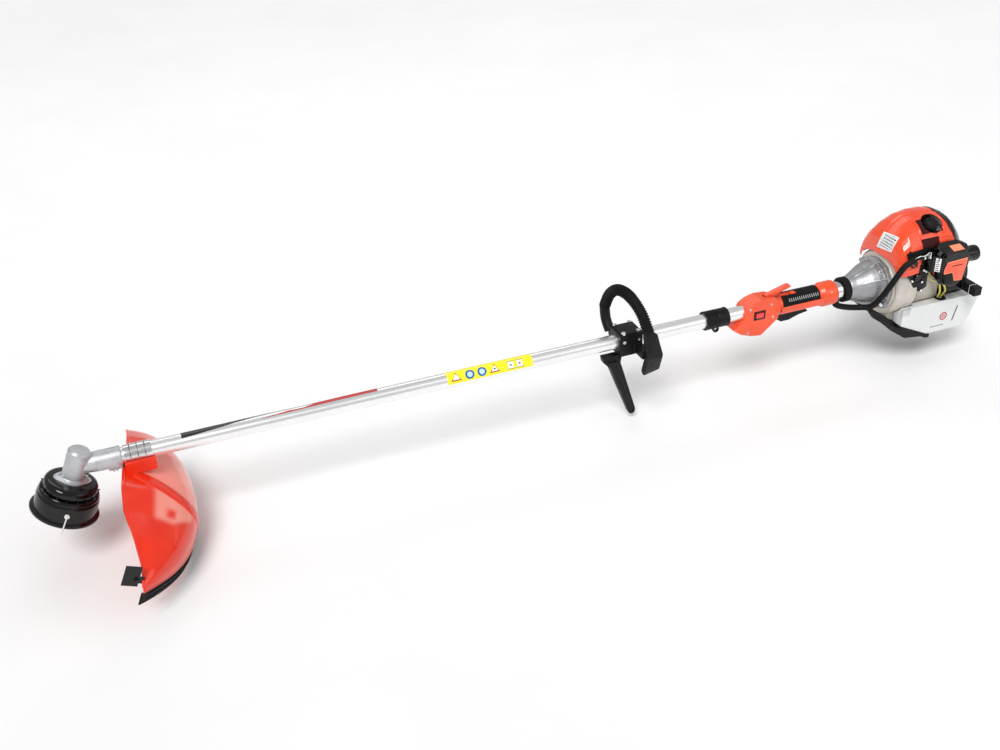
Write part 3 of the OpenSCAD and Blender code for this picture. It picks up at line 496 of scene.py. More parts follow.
add_piece("tube_stripe_black", tube_patch("tube_stripe_black", [
    (-380, -42, 37), (-350, -42, 30), (-310, -41, 17), (-275, -40, 2), (-240, -38, -14), (-202, -36, -30)], 0.10),
    "label_black", "machine")
add_piece("tube_stripe_red", tube_patch("tube_stripe_red", [
    (-43, -36, 16), (-100, -30, 17), (-150, -16, 19), (-200, 8, 23), (-246, 24, 26)], 0.08),
    "label_red", "machine")
add_piece("tube_label", tube_patch("tube_label", [(x, -62, 98) for x in (82, 120, 160, 200, 244)], 0.10, 32),
          "label_yellow", "machine")
signs = [(98, triangle(10.5), "label_red", triangle(7.2), "label_white"),
         (124, disc(8.6), "label_blue", disc(5.0), "label_pale"),
         (147, disc(8.6), "label_blue", disc(5.0), "label_pale"),
         (171, triangle(10.5), "label_red", triangle(7.2), "label_white"),
         (202, square(7.4), "label_black", square(6.4), "label_white"),
         (219, square(7.4), "label_black", square(6.4), "label_white")]
for i, (x, outer, edge_mat, inner, inner_mat) in enumerate(signs):
    add_piece(f"tube_sign_{i}", tube_shape("sign", x, FACING - 6, outer, 0.16), edge_mat, "machine")
    add_piece(f"tube_sign_face_{i}", tube_shape("sign", x, FACING - 6, inner, 0.22), inner_mat, "machine")
    if i > 2:
        add_piece(f"tube_sign_dot_{i}", tube_shape("sign", x, FACING - 5, disc(1.6), 0.26), "label_black", "machine")

# ------------------------------------------------------------------ line head

head_profile = [(6, -46), (6, -42.2), (34, -42.1), (42, -42.4), (46.2, -43.6), (47.8, -46), (48.3, -49),
                (48.3, -50.6), (48.9, -51.6), (49.6, -53.6), (49.9, -56), (49.9, -77), (50.2, -79), (52, -80.2),
                (54.4, -80.8), (55.4, -81.8), (55.5, -84.6), (54.8, -85.7), (53, -86), (30, -86), (30, -83.2),
                (47, -83), (47, -58), (44, -48.5), (36, -46)]
add_piece("head_shell", lathe("head_shell", head_profile, HEAD), "gloss_black", "head",
          ["head_housing"], 35)
guard_profile = [(15.2, -28), (15.2, -26.2), (34, -25.9), (38.5, -26.8), (41.4, -28.8), (42.8, -32), (42.9, -39.3),
                 (40.6, -39.4), (40.5, -33), (38.6, -30.2), (35, -28)]
add_piece("wrap_guard_skin", lathe("wrap_guard_skin", guard_profile, HEAD), "gloss_black", BODY_OF["wrap_guard"],
          ["wrap_guard"], 35)
rings = [lathe("r", [(r - 0.6, z), (r + 0.35, z + 0.5), (r + 0.35, z + 1.3), (r - 0.6, z + 1.8)], HEAD)
         for r, z in ((49.7, -60), (49.7, -78))]
add_piece("head_bands", join("head_bands", rings), "gloss_black", "head", (), 35)
ribs = []
for k in range(18):
    turn = HEAD @ Matrix.Rotation(2 * math.pi * k / 18, 4, "Z")
    ribs.append(box_mesh("rib", (42.2, -1.2, -41), (47.2, 1.2, -39.8), 0.3, turn))
add_piece("head_ribs", join("head_ribs", ribs), "gloss_black", "head", (), 35)

# ------------------------------------------------------------------ gearcase and the guard's bracket

eased_node("gearcase", 0.6, 2, 0.35)
barrel_rim = lathe("c", [(17.6, 15.6), (18.9, 16.0), (18.9, 17.0), (17.6, 17.4)], HEAD, 64)
collars = [lathe("c", [(17.0, 0), (17.7, 0.5), (17.7, 2.6), (17.0, 3.1)],
                 Matrix.Translation((x, 0, 0)) @ Matrix.Rotation(math.pi / 2, 4, "Y"), 64) for x in (-512, -484)]
add_piece("gearcase_bands", join("gearcase_bands", collars + [barrel_rim]), "cast_aluminium", "machine")
plate = [(30 * math.cos(a) * (1 - 0.12 * math.sin(2 * a) ** 2), 22 * math.sin(a) * (1 - 0.12 * math.sin(2 * a) ** 2))
         for a in np.linspace(0, 2 * math.pi, 49)[:-1]]
for i, (size, low) in enumerate(((1.0, -25.7), (0.86, -23.0))):
    outline = [(x * size, y * size) for x, y in plate]
    add_piece(f"gearcase_plate_{i}", slab("gearcase_plate", outline, low, low + 2.7, HEAD, 0.5), "cast_aluminium",
              "machine")
eased_node("guard_clamp", 0.5, 1, 0.35)
eased_node("guard_saddle", 0.8, 8, 0.3)
# bracket ribs in dark steel, painted shade standing for the bracket's slots
bracket = [box_mesh("b", (-472, 15.2, 0.6), (-432, 26.5, 1.4), 0.3)]
for x in (-464, -452, -440):
    bracket.append(sweep("b", [on_tube(x, t, 2.3) for t in (-60, -30, 0, 30, 60, 85)], 0.8, 8, 4))
add_piece("bracket_slot_shade", join("bracket_slot_shade", bracket), "muffler_steel", "machine")

# ------------------------------------------------------------------ guard

guard_front = [(-222, 97, -68), (-195, 93, -47), (-150, 80, -24), (-100, 68, -11), (-50, 66, 4), (-18, 69, 11),
               (18, 74, 13), (60, 84, 12), (100, 90, 8), (135, 95, 0), (150, 97, -7)]
front_y = [f[0] for f in guard_front]


def guard_point(y, s, lift=0.0):
    """A point on the guard's outer skin in the head's frame; s runs from the front edge to the rim."""
    reach, height = (np.interp(y, front_y, [f[i] for f in guard_front]) for i in (1, 2))
    rim = max(209 - 15.6 * (abs(y) / 100) ** 2.45, reach + 4)
    a = math.radians(90 * s)
    return Vector((reach + (rim + lift - reach) * math.sin(a) ** 0.66, y,
                   -76 + (height + lift + 76) * math.cos(a) ** 0.66))


def guard_skin(lift):
    ys = [-222 + 372 * i / 90 for i in range(91)]
    return [[guard_point(y, j / 48, lift) for j in range(49)] for y in ys]


def closed_sheet(name, outer, inner, place):
    rows, cols = len(outer), len(outer[0])
    points = [p for r in outer for p in r] + [p for r in inner for p in r]
    half = rows * cols
    faces = []
    for i in range(rows - 1):
        for j in range(cols - 1):
            a, b, c, d = i * cols + j, (i + 1) * cols + j, (i + 1) * cols + j + 1, i * cols + j + 1
            faces += [(a, b, c, d), (half + d, half + c, half + b, half + a)]
        for j in (0, cols - 1):
            a, b = i * cols + j, (i + 1) * cols + j
            faces.append((a, b, half + b, half + a))
    for i in (0, rows - 1):
        for j in range(cols - 1):
            a, b = i * cols + j, i * cols + j + 1
            faces.append((a, b, half + b, half + a))
    return mesh_of(name, points, faces, place)


crest_s = (0.03, 0.10, 0.17, 0.27, 0.40, 0.56, 0.72, 0.90, 0.985)
crest_y = (-18, -30, -38, -48, -57, -64, -64, -61, -58)


def painted_light(y, s):
    """How much painted reflection lies on the shell: a highlight zone inside the rim, a highlight patch beside the
    crest with a darker spot of reflection in it, and a highlight on the rim itself.
    """
    over = np.interp(s, crest_s, crest_y) + 9
    # painted highlight zone inside the rim
    highlight_zone = 0.95 / (1 + math.exp((over - y) / 2)) / (1 + math.exp((s - 0.86) / 0.03)) / (1 + math.exp((y - 60) / 12))
    low = np.interp(s, (0.1, 0.33, 0.66), (-106, -112, -86))
    # painted highlight patch below the crest
    patch = 0.95 / (1 + math.exp((y - over + 18) / 1.5)) / (1 + math.exp((low - y) / 2))
    patch = patch / (1 + math.exp((0.155 - s) / 0.008)) / (1 + math.exp((s - 0.62) / 0.02))
    # a darker spot of painted reflection inside the patch
    dark_reflection = 0.9 * math.exp(-((y + 93) / 10) ** 4 - ((s - 0.31) / 0.055) ** 4)
    # painted highlight along the rim
    edge = 0.45 / (1 + math.exp((0.965 - s) / 0.006))
    return max(0.0, min(1.0, highlight_zone + patch - dark_reflection + edge))


shell = closed_sheet("guard_skin", guard_skin(0), guard_skin(-2.6), HEAD)
# the painted reflection is kept as a point attribute that the guard's material reads
sheet = [painted_light(-222 + 372 * i / 90, j / 48) for i in range(91) for j in range(49)]
shell.attributes.new("painted_light", "FLOAT", "POINT").data.foreach_set("value", sheet + sheet)
add_piece("guard_skin", shell, "guard_plastic", "machine", ["guard_shell"], 60)
edge_line = [HEAD @ guard_point(y, 0.004, -0.9) for y in np.linspace(-220, 149, 40)]
add_piece("guard_edge_bead", sweep("guard_edge_bead", edge_line, 1.7, 12, 2), "guard_plastic", "machine")
rim_line = [HEAD @ guard_point(y, 0.985, -1.2) for y in np.linspace(-219, 148, 40)]
add_piece("guard_rim_bead", sweep("guard_rim_bead", rim_line, 1.9, 12, 2), "guard_plastic", "machine")
band = [[guard_point(np.interp(s, crest_s, crest_y) + 11.5 * t, s, 2.0 * math.sqrt(max(0.0, 1 - t * t)) - 0.3)
         for t in np.linspace(-1, 1, 13)] for s in np.linspace(0.03, 0.985, 48)]
under = [[guard_point(np.interp(s, crest_s, crest_y) + 11.5 * t, s, -0.8)
          for t in np.linspace(-1, 1, 13)] for s in np.linspace(0.03, 0.985, 48)]
add_piece("guard_crest", closed_sheet("guard_crest", band, under, HEAD), "guard_crest", "machine",
          (), 60)

eased_node("guard_skirt", 0.8, 1, 0.35)
skirt_lines = []
for z in (-82.5, -91.5):
    line = [HEAD @ Vector((209.2 - 15.6 * (abs(y) / 100) ** 2.45, y, z)) for y in np.linspace(-214, 130, 44)]
    skirt_lines.append(sweep("l", line, 0.9, 8, 0))
add_piece("skirt_lips", join("skirt_lips", skirt_lines), "black_rubber", "machine", (), 35)
eased_node("line_cutter", 0.5, 1, 0.4, "gloss_black")

# ------------------------------------------------------------------ loop handle

loop_route = [(419, 32, 6), (417, 46, 26), (418, 54, 48), (422, 41, 78), (427, 17, 97), (436, -12, 95),
              (446, -39, 72), (453, -57, 38)]
grip_line = loop_route[2:]


def ribbed(t):
    wave = math.sin(2 * math.pi * t * 44)
    return 10.2 + 0.75 * max(-1.0, min(1.0, wave * 2.4)) if 0.03 < t < 0.97 else 10.6


add_piece("loop_ribbed_grip", sweep("loop_ribbed_grip", grip_line, ribbed, 24, 88), "black_rubber",
          BODY_OF["loop_grip"], ["loop_grip"], 50)
eased_node("loop_frame", 0.9, 5, 0.35)
eased_node("handle_clamp", 0.7, 3, 0.3)
eased_node("barrier_leg", 0.7, 3, 0.35)
bits = []
for x in (422, 452):
    bits.append(screw("s", (x, -22.2, 8), (0, -1, 0), 3.4, 2.2, "hex"))
add_piece("clamp_side_bolts", join("clamp_side_bolts", bits), "bright_steel", "machine")
plates = [box_mesh("p", (416, -20, 22.4), (458, 20, 23.3), 0.4)]
add_piece("clamp_plate", join("clamp_plate", plates), "black_plastic", "machine")

# ------------------------------------------------------------------ harness collar

eased_node("harness_collar", 0.6, 2, 0.35)
bands = [lathe("c", [(17.2, 0), (18.2, 0.4), (18.2, 1.8), (17.2, 2.2)],
               Matrix.Translation((x, 0, 0)) @ Matrix.Rotation(math.pi / 2, 4, "Y"), 64)
         for x in (606, 610.5, 615, 619.5, 624)]
add_piece("collar_ridges", join("collar_ridges", bands), "black_plastic", "machine")

# ------------------------------------------------------------------ throttle grip

eased_node("throttle_housing", 0.7, 6, 0.35)
eased_node("grip_pad", 0.6, 2, 0.35)
eased_node("throttle_trigger", 0.6, 3, 0.4)
eased_node("lockout_lever", 0.6, 4, 0.4)
lugs = []
for row, turn in enumerate((28, 44, 60, 76)):
    for i in range(12):
        x = 772 + i * 6.1 + (row % 2) * 3
        a = math.radians(turn)
        place = Matrix.Translation((x, -GRIP_R * math.sin(a), GRIP_R * math.cos(a))) @ Matrix.Rotation(a, 4, "X")
        lugs.append(box_mesh("l", (-2.1, -1.6, -0.7), (2.1, 1.6, 0.5), 0.5, place))
add_piece("grip_lugs", join("grip_lugs", lugs), "black_rubber", "machine", (), 45)
a = math.radians(52)
ticks = [box_mesh("t", (-0.7, -3.4, 0.4), (0.7, 3.4, 1.1), 0.2,
                  Matrix.Translation((x, -GRIP_R * math.sin(a), GRIP_R * math.cos(a))) @ Matrix.Rotation(a, 4, "X"))
         for x in np.linspace(778, 842, 15)]
add_piece("grip_ticks", join("grip_ticks", ticks), "steel", "machine")
add_piece("grip_band", tube_patch("grip_band", [(x, 80, 122) for x in (760, 790, 820, 856)], 9.0, 12), "grip_orange",
          "machine")
bezel = [box_mesh("b", (x0, -19.0, z0), (x1, -17.4, z1), 0.5)
         for x0, x1, z0, z1 in ((700.5, 704, -13.2, 5.2), (722, 725.5, -13.2, 5.2), (702, 724, 2.0, 5.2),
                                (702, 724, -13.2, -10.2))]
add_piece("switch_bezel", join("switch_bezel", bezel), "gloss_black", "machine")
eased_node("stop_switch", 0.35, 2, 0.5)
screws = [screw("s", (x, -17.8, z), (0, -1, 0), 2.6, 1.2) for x, z in ((692, 12), (738, 14), (744, -14), (690, -38))]
screws.append(screw("s", (872, -21.0, 12), (0, -1, 0), 2.4, 1.0))
add_piece("housing_screws", join("housing_screws", screws), "steel", "machine")

# ------------------------------------------------------------------ clutch end

eased_node("tube_clamp", 0.5, 1, 0.4)
add_piece("clamp_bolt", screw("clamp_bolt", (898, -6.2, -20), (0, -1, 0), 3.2, 2.4, "hex"), "bright_steel",
          "machine")
eased_node("isolator_ring", 0.6, 3, 0.4)
eased_node("clutch_housing", 0.8, 3, 0.35, "cone_casting")
eased_node("fan_housing", 0.9, 4, 0.3, "fan_casting")
eased_node("crankcase", 1.0, 3, 0.3, "fan_casting")

conduit = [(889, -12, -21), (898, -14, -27), (916, -18, -32), (938, -25, -34), (955, -42, -27), (964, -55, -4),
           (972, -65, 22), (980, -72, 46), (991, -77, 68), (1011, -78.7, 79.5)]
add_piece("conduit_skin", sweep("conduit_skin", conduit, lambda t: 5.9 + 0.08 * math.sin(t * 700), 20, 24),
          "black_rubber", BODY_OF["throttle_conduit"], ["throttle_conduit"], 0)

# ------------------------------------------------------------------ engine cover

def cover_shape(p, n):
    """Creases and steps of the engine cover."""
    x, y, z = p[:, 0], p[:, 1], p[:, 2]
    outward = np.einsum("ij,ij->i", n, p - np.array([1060, 0, 40])) > 0
    depth = np.zeros(len(p))
    # a double crease that climbs the front from its near foot to the top
    path = y + 14 + (x - 1000) * 0.10
    depth += 1.3 * np.exp(-((path - 20) / 1.5) ** 2) * (z > 70)
    # a shallow step round the recess for the plug
    local = np.einsum("ij,kj->ki", np.linalg.inv(np.array(PLUG))[:3, :3],
                      p) + np.linalg.inv(np.array(PLUG))[:3, 3]
    r = np.maximum(abs(local[:, 0]) / 1.08, abs(local[:, 1]))
    depth += 1.2 * np.exp(-((r - 33) / 1.6) ** 2) * (local[:, 2] > 20)
    depth += 1.0 * (1 / (1 + np.exp((r - 30) / 1.2))) * (local[:, 2] > 20)
    # a crease above the lower edge
    depth += 0.9 * np.exp(-((z - 52 - (x - 990) * 0.10) / 1.4) ** 2)
    # the joint at the back
    depth += 0.8 * np.exp(-((x - 1113) / 1.1) ** 2)
    return p - n * (depth * outward)[:, None]


cover = eased_node("engine_cover", 1.0, 3, 0.45, "orange_plastic", cover_shape)
eased_node("rear_cover", 1.0, 3, 0.4)
cover_tree = BVHTree.FromPolygons([v.co / MM for v in cover.data.vertices],
                                  [tuple(p.vertices) for p in cover.data.polygons])


def rear_band(source, at, normal, lift):
    """The part of a skin behind a plane, raised a little."""
    bm = bmesh.new()
    bm.from_mesh(source)
    bmesh.ops.bisect_plane(bm, geom=bm.verts[:] + bm.edges[:] + bm.faces[:], plane_co=Vector(at) * MM,
                           plane_no=normal, clear_inner=True)
    bm.normal_update()
    offsets = [v.normal.copy() for v in bm.verts]
    for v, push in zip(bm.verts, offsets):
        v.co += push * (lift * MM)
    mesh = bpy.data.meshes.new("rear_band")
    bm.to_mesh(mesh)
    bm.free()
    return mesh


add_piece("cover_rear_band", rear_band(cover.data, (1100, 0, 137), (1, 0, 0.45), 0.8), "gloss_black", "machine",
          (), 40)


def on_cover(at, towards, lift):
    """The point of the cover's outside under at, seen along towards, raised by lift."""
    hit, normal, _, _ = cover_tree.ray_cast(Vector(at) + Vector(towards).normalized() * 120,
                                            -Vector(towards).normalized())
    return (hit + normal * lift, normal) if hit is not None else (Vector(at), Vector(towards))


def cover_patch(name, centre, facing, along, wide, tall, lift, cols=14, rows=14):
    """A sheet that lies on the cover: a rectangle thrown onto it along facing."""
    facing, along = Vector(facing).normalized(), Vector(along)
    along = (along - facing * along.dot(facing)).normalized()
    side = facing.cross(along)
    points = []
    for level in (lift, lift - 0.25):
        for i in range(rows + 1):
            for j in range(cols + 1):
                at = Vector(centre) + along * (wide * (j / cols - 0.5)) + side * (tall * (i / rows - 0.5))
                points.append(on_cover(at, facing, level)[0])
    w, half = cols + 1, (rows + 1) * (cols + 1)
    faces = []
    for i in range(rows):
        for j in range(cols):
            a, b, c, d = i * w + j, (i + 1) * w + j, (i + 1) * w + j + 1, i * w + j + 1
            faces += [(a, b, c, d), (half + d, half + c, half + b, half + a)]
    for i in range(rows):
        for j in (0, cols):
            a, b = i * w + j, (i + 1) * w + j
            faces.append((a, b, half + b, half + a))
    for i in (0, rows):
        for j in range(cols):
            a, b = i * w + j, i * w + j + 1
            faces.append((a, b, half + b, half + a))
    return mesh_of(name, points, faces)


label_at, label_facing, label_along = (996, -11, 92), (-0.62, -0.45, 0.62), (0.3, -0.9, -0.12)
add_piece("cover_label_edge", cover_patch("cover_label_edge", label_at, label_facing, label_along, 37, 30, 0.30),
          "label_white", "machine", (), 30)
add_piece("cover_label", cover_patch("cover_label", label_at, label_facing, label_along, 33, 26, 0.42),
          "plate_print", "machine", (), 30)

# the recess round the plug's cap: a lip, a floor and well dark with painted shade, and the boot
def recess_reach(a):
    """How far the recess runs from the plug's axis: longest towards the front and down the slope."""
    c, d = math.cos(a), math.sin(a)
    across = (20 if c > 0 else 33) / max(abs(c), 0.01)
    down = (14 if d > 0 else 21) / max(abs(d), 0.01)
    return max(min(across, down), 23.6)


def on_slope(r, a, lift):
    spot = PLUG @ Vector((r * math.cos(a), r * math.sin(a), 0))
    return on_cover(spot, PLUG.to_3x3() @ Vector((0, 0, 1)), lift)[0]


turns = np.linspace(0, 2 * math.pi, 73)
add_piece("plug_lip", sweep("plug_lip", [on_slope(recess_reach(a), a, 0.2) for a in turns[:-1]], 1.5, 10, 0, True),
          "orange_plastic", "machine")
# the floor of the recess as a dark red sheet of painted shade
floor_rows, floor_under = ([[on_slope(22.6 + (recess_reach(a) - 22.6) * t, a, lift) for t in np.linspace(0, 1, 5)]
                            for a in turns] for lift in (0.5, 0.2))
add_piece("plug_floor", closed_sheet("plug_floor", floor_rows, floor_under, Matrix.Identity(4)), "painted_shade",
          "machine", (), 30)
# the wall of the plug's hole in painted shade
add_piece("plug_well", lathe("plug_well", [(21.4, 8), (21.8, 8), (21.9, 28), (21.4, 28)], PLUG, 64), "painted_shade",
          "machine")
boot = [(6, 8), (9.5, 9), (10, 14), (12.5, 16), (12.5, 18), (11, 20), (11.5, 24), (14.5, 27), (15.4, 33), (14.6, 41),
        (12, 46.5), (7, 49.6), (0.01, 50.6), (0.01, 24.5), (5.2, 24), (5.2, 8)]
add_piece("plug_boot", lathe("plug_boot", boot, PLUG, 48), "black_rubber", BODY_OF["plug_cap"],
          ["plug_cap"], 45)
ridges = [box_mesh("b", (-15.2, -1.4 + 5 * k, 33), (15.2, 1.4 + 5 * k, 45.5 - abs(k) * 3), 0.6, PLUG)
          for k in (-1, 0, 1)]
add_piece("plug_boot_ribs", join("plug_boot_ribs", ridges), "black_rubber", "machine", (), 40)

# ------------------------------------------------------------------ air filter

FRONT = Matrix(((1, 0, 0, 0), (0, 0, -1, 0), (0, 1, 0, 0), (0, 0, 0, 1)))    # local Z becomes -Y
eased_node("air_filter_case", 0.8, 3, 0.35, "gloss_black")
eased_node("air_filter_cover", 0.8, 2, 0.4, "gloss_black")
panel = [(1073, 68), (1120, 70), (1119, 59), (1113, 24), (1096, 26), (1089, 45), (1069, 45), (1069, 54)]
add_piece("filter_panel", slab("filter_panel", panel, 97.2, 98.9, FRONT, 0.5), "panel_orange", "machine")
# a pale rim that stands for the painted highlight along the panel's edge
panel_rim = sweep("filter_panel_rim", [FRONT @ Vector((x, z, 98.7)) for x, z in panel], 0.9, 8, 0, True)
add_piece("filter_panel_rim", panel_rim, "painted_highlight_orange", "machine")
# the panel's slot drawn as a dark strip of painted shade
add_piece("filter_slot", box_mesh("filter_slot", (1086, -99.1, 57.6), (1110, -98.6, 59.4), 0.1), "painted_shade",
          "machine")
latch = [(1070, 44), (1088, 44), (1094, 26), (1094, 17), (1080, 20), (1073, 26)]
add_piece("filter_latch", slab("filter_latch", latch, 96.5, 99.6, FRONT, 0.8), "black_plastic", "machine")
brow = [(1071, -97.4, 80.5), (1073, -97.6, 83.8), (1092, -97.6, 85.4), (1112, -97.6, 86.4), (1117, -97.2, 83)]
add_piece("filter_brow", sweep("filter_brow", brow, 1.3, 12, 6), "gloss_black", "machine")
chamfer = [(1052.2, -79.6), (1066.8, -97.2), (1068, -97.2), (1068, -79.6)]
add_piece("filter_chamfer", slab("filter_chamfer", chamfer, 46, 79, Matrix.Identity(4), 0.8), "gloss_black",
          "machine")
side = (Matrix.Translation((1059.4, -88.6, 62))
        @ Vector((-0.77, -0.64, 0)).to_track_quat("Z", "Y").to_matrix().to_4x4())
add_piece("filter_side_strip", box_mesh("filter_side_strip", (-5, -14, -0.4), (5, 14, 0.6), 0.2, side), "label_white",
          "machine")
dashes = [box_mesh("d", (-3.6, -12 + 4.2 * k, 0.5), (-3.6 + (7.2, 5.2, 6.4)[k % 3], -10.4 + 4.2 * k, 0.7), 0, side)
          for k in range(6)]
add_piece("filter_side_print", join("filter_side_print", dashes), "label_black", "machine")
# a real orange square on the top face, its paler colour a painted highlight of the lit top
top_place = Matrix.Translation((1101.5, -85, 89.2)) @ Matrix.Rotation(math.radians(17), 4, "X")
top_square = [(-12.5, -8.4), (12.5, -8.4), (12.5, 8.4), (-12.5, 8.4)]
add_piece("filter_top_square", slab("filter_top_square", top_square, -1.0, 0.9, top_place, 0.5), "painted_highlight_orange",
          "machine")
KNOB = Matrix.Translation((0, -82, 68))
knurl = [box_mesh("k", (1137, -0.9, 14.4), (1150.5, 0.9, 15.5), 0.2,
                  KNOB @ Matrix.Rotation(2 * math.pi * k / 20, 4, "X")) for k in range(20)]
add_piece("filter_knob_ribs", join("filter_knob_ribs", knurl), "gloss_black", "machine")

# ------------------------------------------------------------------ carburettor and hoses

eased_node("carburettor", 0.6, 2, 0.35, "black_plastic")
shield = [(1006, 84), (1058, 92), (1062, 4), (1046, -4), (1030, 2), (1022, 26), (1012, 40)]
add_piece("intake_block", slab("intake_block", shield, 58, 65.5, FRONT, 2.0), "black_plastic", "machine")
# a dark red sheet of painted shade on the cover beside the air filter box, where shade falls between them
add_piece("cover_shade_patch", cover_patch("cover_shade_patch", (1060, -50, 90), (0, -0.85, 0.5), (1, 0, 0), 40, 22, 0.5),
          "painted_shade", "machine", (), 30)
ports = [lathe("p", [(0.01, 0), (r, 0), (r, 4), (r - 1.2, 5.4), (r - 1.6, 4), (0.01, 4)],
               Matrix.Translation((x, -65, z)) @ FRONT, 32)
         for x, z, r in ((1020, 62, 8), (1044, 62, 6), (1036, 30, 9))]
add_piece("intake_ports", join("intake_ports", ports), "gloss_black", "machine")
links = [sweep("w", [(1012, -78.5, 80.5), (1022, -79, 84), (1034, -78, 82), (1046, -76, 86)], 1.0, 8, 8),
         sweep("w", [(1052, -73, 84), (1050, -77, 74), (1056, -76, 64), (1062, -74, 60)], 1.0, 8, 8),
         lathe("w", [(2.6, 0), (4.6, 0.4), (4.6, 3.4), (2.6, 3.8)],
               Matrix.Translation((1030, -78.4, 79.2)) @ Matrix.Rotation(math.pi / 2, 4, "Y"), 6),
         lathe("w", [(2.6, 0), (4.6, 0.4), (4.6, 3.4), (2.6, 3.8)],
               Matrix.Translation((1042, -77.6, 78.4)) @ Matrix.Rotation(math.pi / 2, 4, "Y"), 6)]
add_piece("throttle_link", join("throttle_link", links), "bright_steel", "machine")
wires = [sweep("w", [(1004, -74, 76), (1002, -70, 84), (1006, -67.5, 92), (1012, -68, 84), (1018, -70, 74),
                     (1030, -66, 62), (1048, -60, 56)], 1.1, 8, 8)]
add_piece("stop_wire_black", join("stop_wire_black", wires), "black_rubber", "machine")
wires = [sweep("w", [(1006, -73, 74), (1016, -72, 62), (1028, -68, 54), (1042, -62, 50)], 1.1, 8, 8),
         sweep("w", [(1052, -70, 70), (1056, -79, 58), (1058, -80, 44), (1066, -78, 34)], 1.1, 8, 8)]
add_piece("stop_wire_red", join("stop_wire_red", wires), "wire_red", "machine")
add_piece("carb_screws", join("carb_screws", [screw("s", (x, -66.2, z), (0, -1, 0), 2.8, 1.6)
                                              for x, z in ((1024, 24), (1048, 18), (1049, -1), (1054, 76))]),
          "bright_steel", "machine")
white_bits = [screw("s", (x, -69, z), (0, -1, 0), 2.2, 2.4, "hex") for x, z in ((1045, 45), (1051, 41))]
add_piece("carb_caps", join("carb_caps", white_bits), "label_white", "machine")

fuel_in = [(1112, -46, -40.8), (1112, -47, -36), (1110, -52, -24), (1102, -57, -4), (1094, -59, 16),
           (1091.4, -60, 30), (1091.4, -60, 35.6)]
fuel_out = [(1121, -46, -40.8), (1121, -47, -36), (1119, -56, -22), (1108, -62, -4), (1092, -64, 8),
            (1074, -63, 16), (1068.6, -60, 29), (1068.6, -60, 35.6)]
add_piece("fuel_hoses", join("fuel_hoses", [sweep("h", fuel_in, 2.0, 16, 16), sweep("h", fuel_out, 2.0, 16, 16)]),
          "fuel_hose", BODY_OF["fuel_lines"], ["fuel_lines"], 0)

# ------------------------------------------------------------------ tank, stand and starter

eased_node("fuel_tank", 1.0, 6, 0.3)
eased_node("tank_stand", 0.9, 3, 0.3)
stand_band = [(955, -33), (968, -45), (992, -58), (1017, -80), (1052, -105), (1088, -121), (1090, -127), (1048, -121),
              (1012, -96), (985, -72), (962, -55), (952, -42)]
add_piece("stand_band", slab("stand_band", stand_band, 37, 44, FRONT, 1.4), "black_plastic", "machine")
add_piece("stand_clip", box_mesh("stand_clip", (1016, -63.4, -54), (1036, -60, -40), 1.0), "cast_aluminium",
          "machine")
eased_node("fuel_cap", 0.6, 2, 0.4)
grommet = [(4, 0), (11, 0), (11.6, 0.8), (10.4, 2.0), (6.5, 2.6), (4, 2.4)]
add_piece("hose_grommet", lathe("hose_grommet", grommet, Matrix.Translation((1117, -48, -41.6)), 40), "black_rubber",
          "machine")
mark = [lathe("m", [(6.2, 0), (8.8, 0), (8.8, 0.3), (6.2, 0.3)],
              Matrix.Translation((1121, -62.0, -77)) @ FRONT.to_3x3().to_4x4(), 48),
        lathe("m", [(1.8, 0), (3.8, 0), (3.8, 0.3), (1.8, 0.3)],
              Matrix.Translation((1121, -62.0, -77)) @ FRONT.to_3x3().to_4x4(), 32)]
add_piece("tank_mark", join("tank_mark", mark), "label_red", "machine")
add_piece("tank_lines", join("tank_lines", [
    box_mesh("l", (1092, -62.25, -97), (1124, -61.9, -95.8), 0.1),
    box_mesh("l", (-1.1, -62.5, -17), (1.1, -61.9, 17), 0.1, Matrix.Translation((1149, 0, -76))
             @ Matrix.Rotation(math.radians(14), 4, "Y"))]), "label_black", "machine")
eased_node("recoil_starter", 0.9, 3, 0.3)
eased_node("starter_grip", 0.7, 5, 0.4)
seam = [box_mesh("s", (1150.6, -86.6, -21.3), (1169.4, -85.6, -2.7), 0.3)]
add_piece("starter_grip_seam", join("starter_grip_seam", seam), "nylon", BODY_OF["starter_grip"])
eased_node("muffler", 0.9, 3, 0.35)

# ------------------------------------------------------------------ floor, light and camera

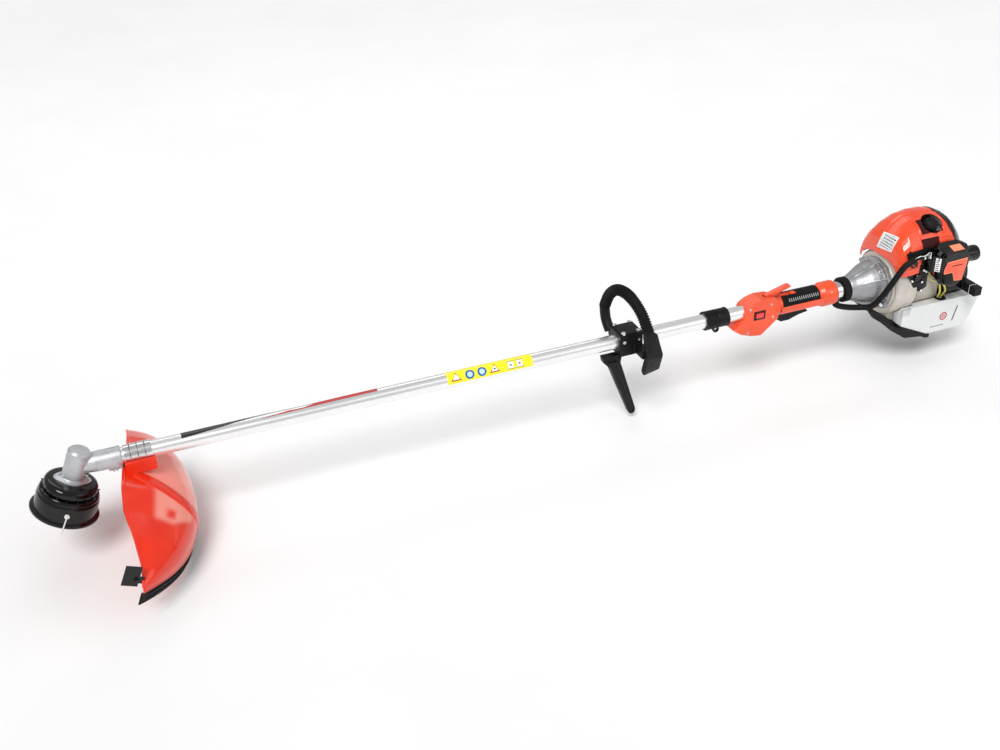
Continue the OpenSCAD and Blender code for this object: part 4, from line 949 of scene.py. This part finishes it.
FLOOR_HALF = 60        # metres
floor_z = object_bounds()[0][2] - 0.0005
floor_mesh = bpy.data.meshes.new("floor")
floor_mesh.from_pydata([(i * FLOOR_HALF, j * FLOOR_HALF, floor_z) for i, j in ((-1, -1), (1, -1), (1, 1), (-1, 1))],
                       [], [(0, 1, 2, 3)])
s = Shader("floor_paint")
s.set(color=s.blend(s.span(s.noise(3), 0.3, 0.7, 0, 1), (0.90, 0.90, 0.905), (0.93, 0.93, 0.93)),
      rough=s.span(s.noise(14), 0.3, 0.7, 0.6, 0.7), spec=0.15)
floor_mesh.materials.append(s.mat)
floor = bpy.data.objects.new("floor", floor_mesh)
bpy.context.scene.collection.objects.link(floor)

world = bpy.data.worlds.new("studio")
bpy.context.scene.world = world
world.use_nodes = True
world.node_tree.nodes["Background"].inputs[0].default_value = (1, 1, 1, 1)
world.node_tree.nodes["Background"].inputs[1].default_value = 0.48


def softbox(name, at, aim, wide, tall, power):
    light = bpy.data.lights.new(name, "AREA")
    light.shape, light.size, light.size_y, light.energy = "RECTANGLE", wide, tall, power
    o = bpy.data.objects.new(name, light)
    o.location = at
    o.rotation_mode = "QUATERNION"
    o.rotation_quaternion = (Vector(aim) - Vector(at)).to_track_quat("-Z", "Y")
    bpy.context.scene.collection.objects.link(o)


softbox("fill", (1.9, -1.6, 1.2), (0.6, 0, 0), 1.4, 1.4, 7)
softbox("back", (0.4, 1.8, 2.0), (0.3, 0, 0), 2.4, 0.8, 8)
key = bpy.data.lights.new("key", "SUN")
key.energy, key.angle = 2.1, math.radians(26)
key_light = bpy.data.objects.new("key", key)
key_light.rotation_mode = "QUATERNION"
key_light.rotation_quaternion = Vector((0.45, 0.62, -1.0)).to_track_quat("-Z", "Y")
bpy.context.scene.collection.objects.link(key_light)

azimuth, elevation, roll = -0.354566, 0.551730, -0.0365524
back = Vector((math.sin(azimuth) * math.cos(elevation), -math.cos(azimuth) * math.cos(elevation),
               math.sin(elevation)))
right = Vector((0, 0, 1)).cross(back).normalized()
up = back.cross(right)
cam_x = right * math.cos(roll) + up * math.sin(roll)
cam_y = up * math.cos(roll) - right * math.sin(roll)
lens = bpy.data.cameras.new("camera")
lens.lens, lens.sensor_width = 42.615, 36
lens.clip_start, lens.clip_end = 0.05, 50
camera = bpy.data.objects.new("camera", lens)
turn = Matrix((cam_x, cam_y, back)).transposed()
camera.matrix_world = Matrix.Translation((-0.44599, -1.70361, 1.10376)) @ turn.to_4x4()
bpy.context.scene.collection.objects.link(camera)
bpy.context.scene.camera = camera
bpy.context.scene.view_settings.view_transform = "Standard"
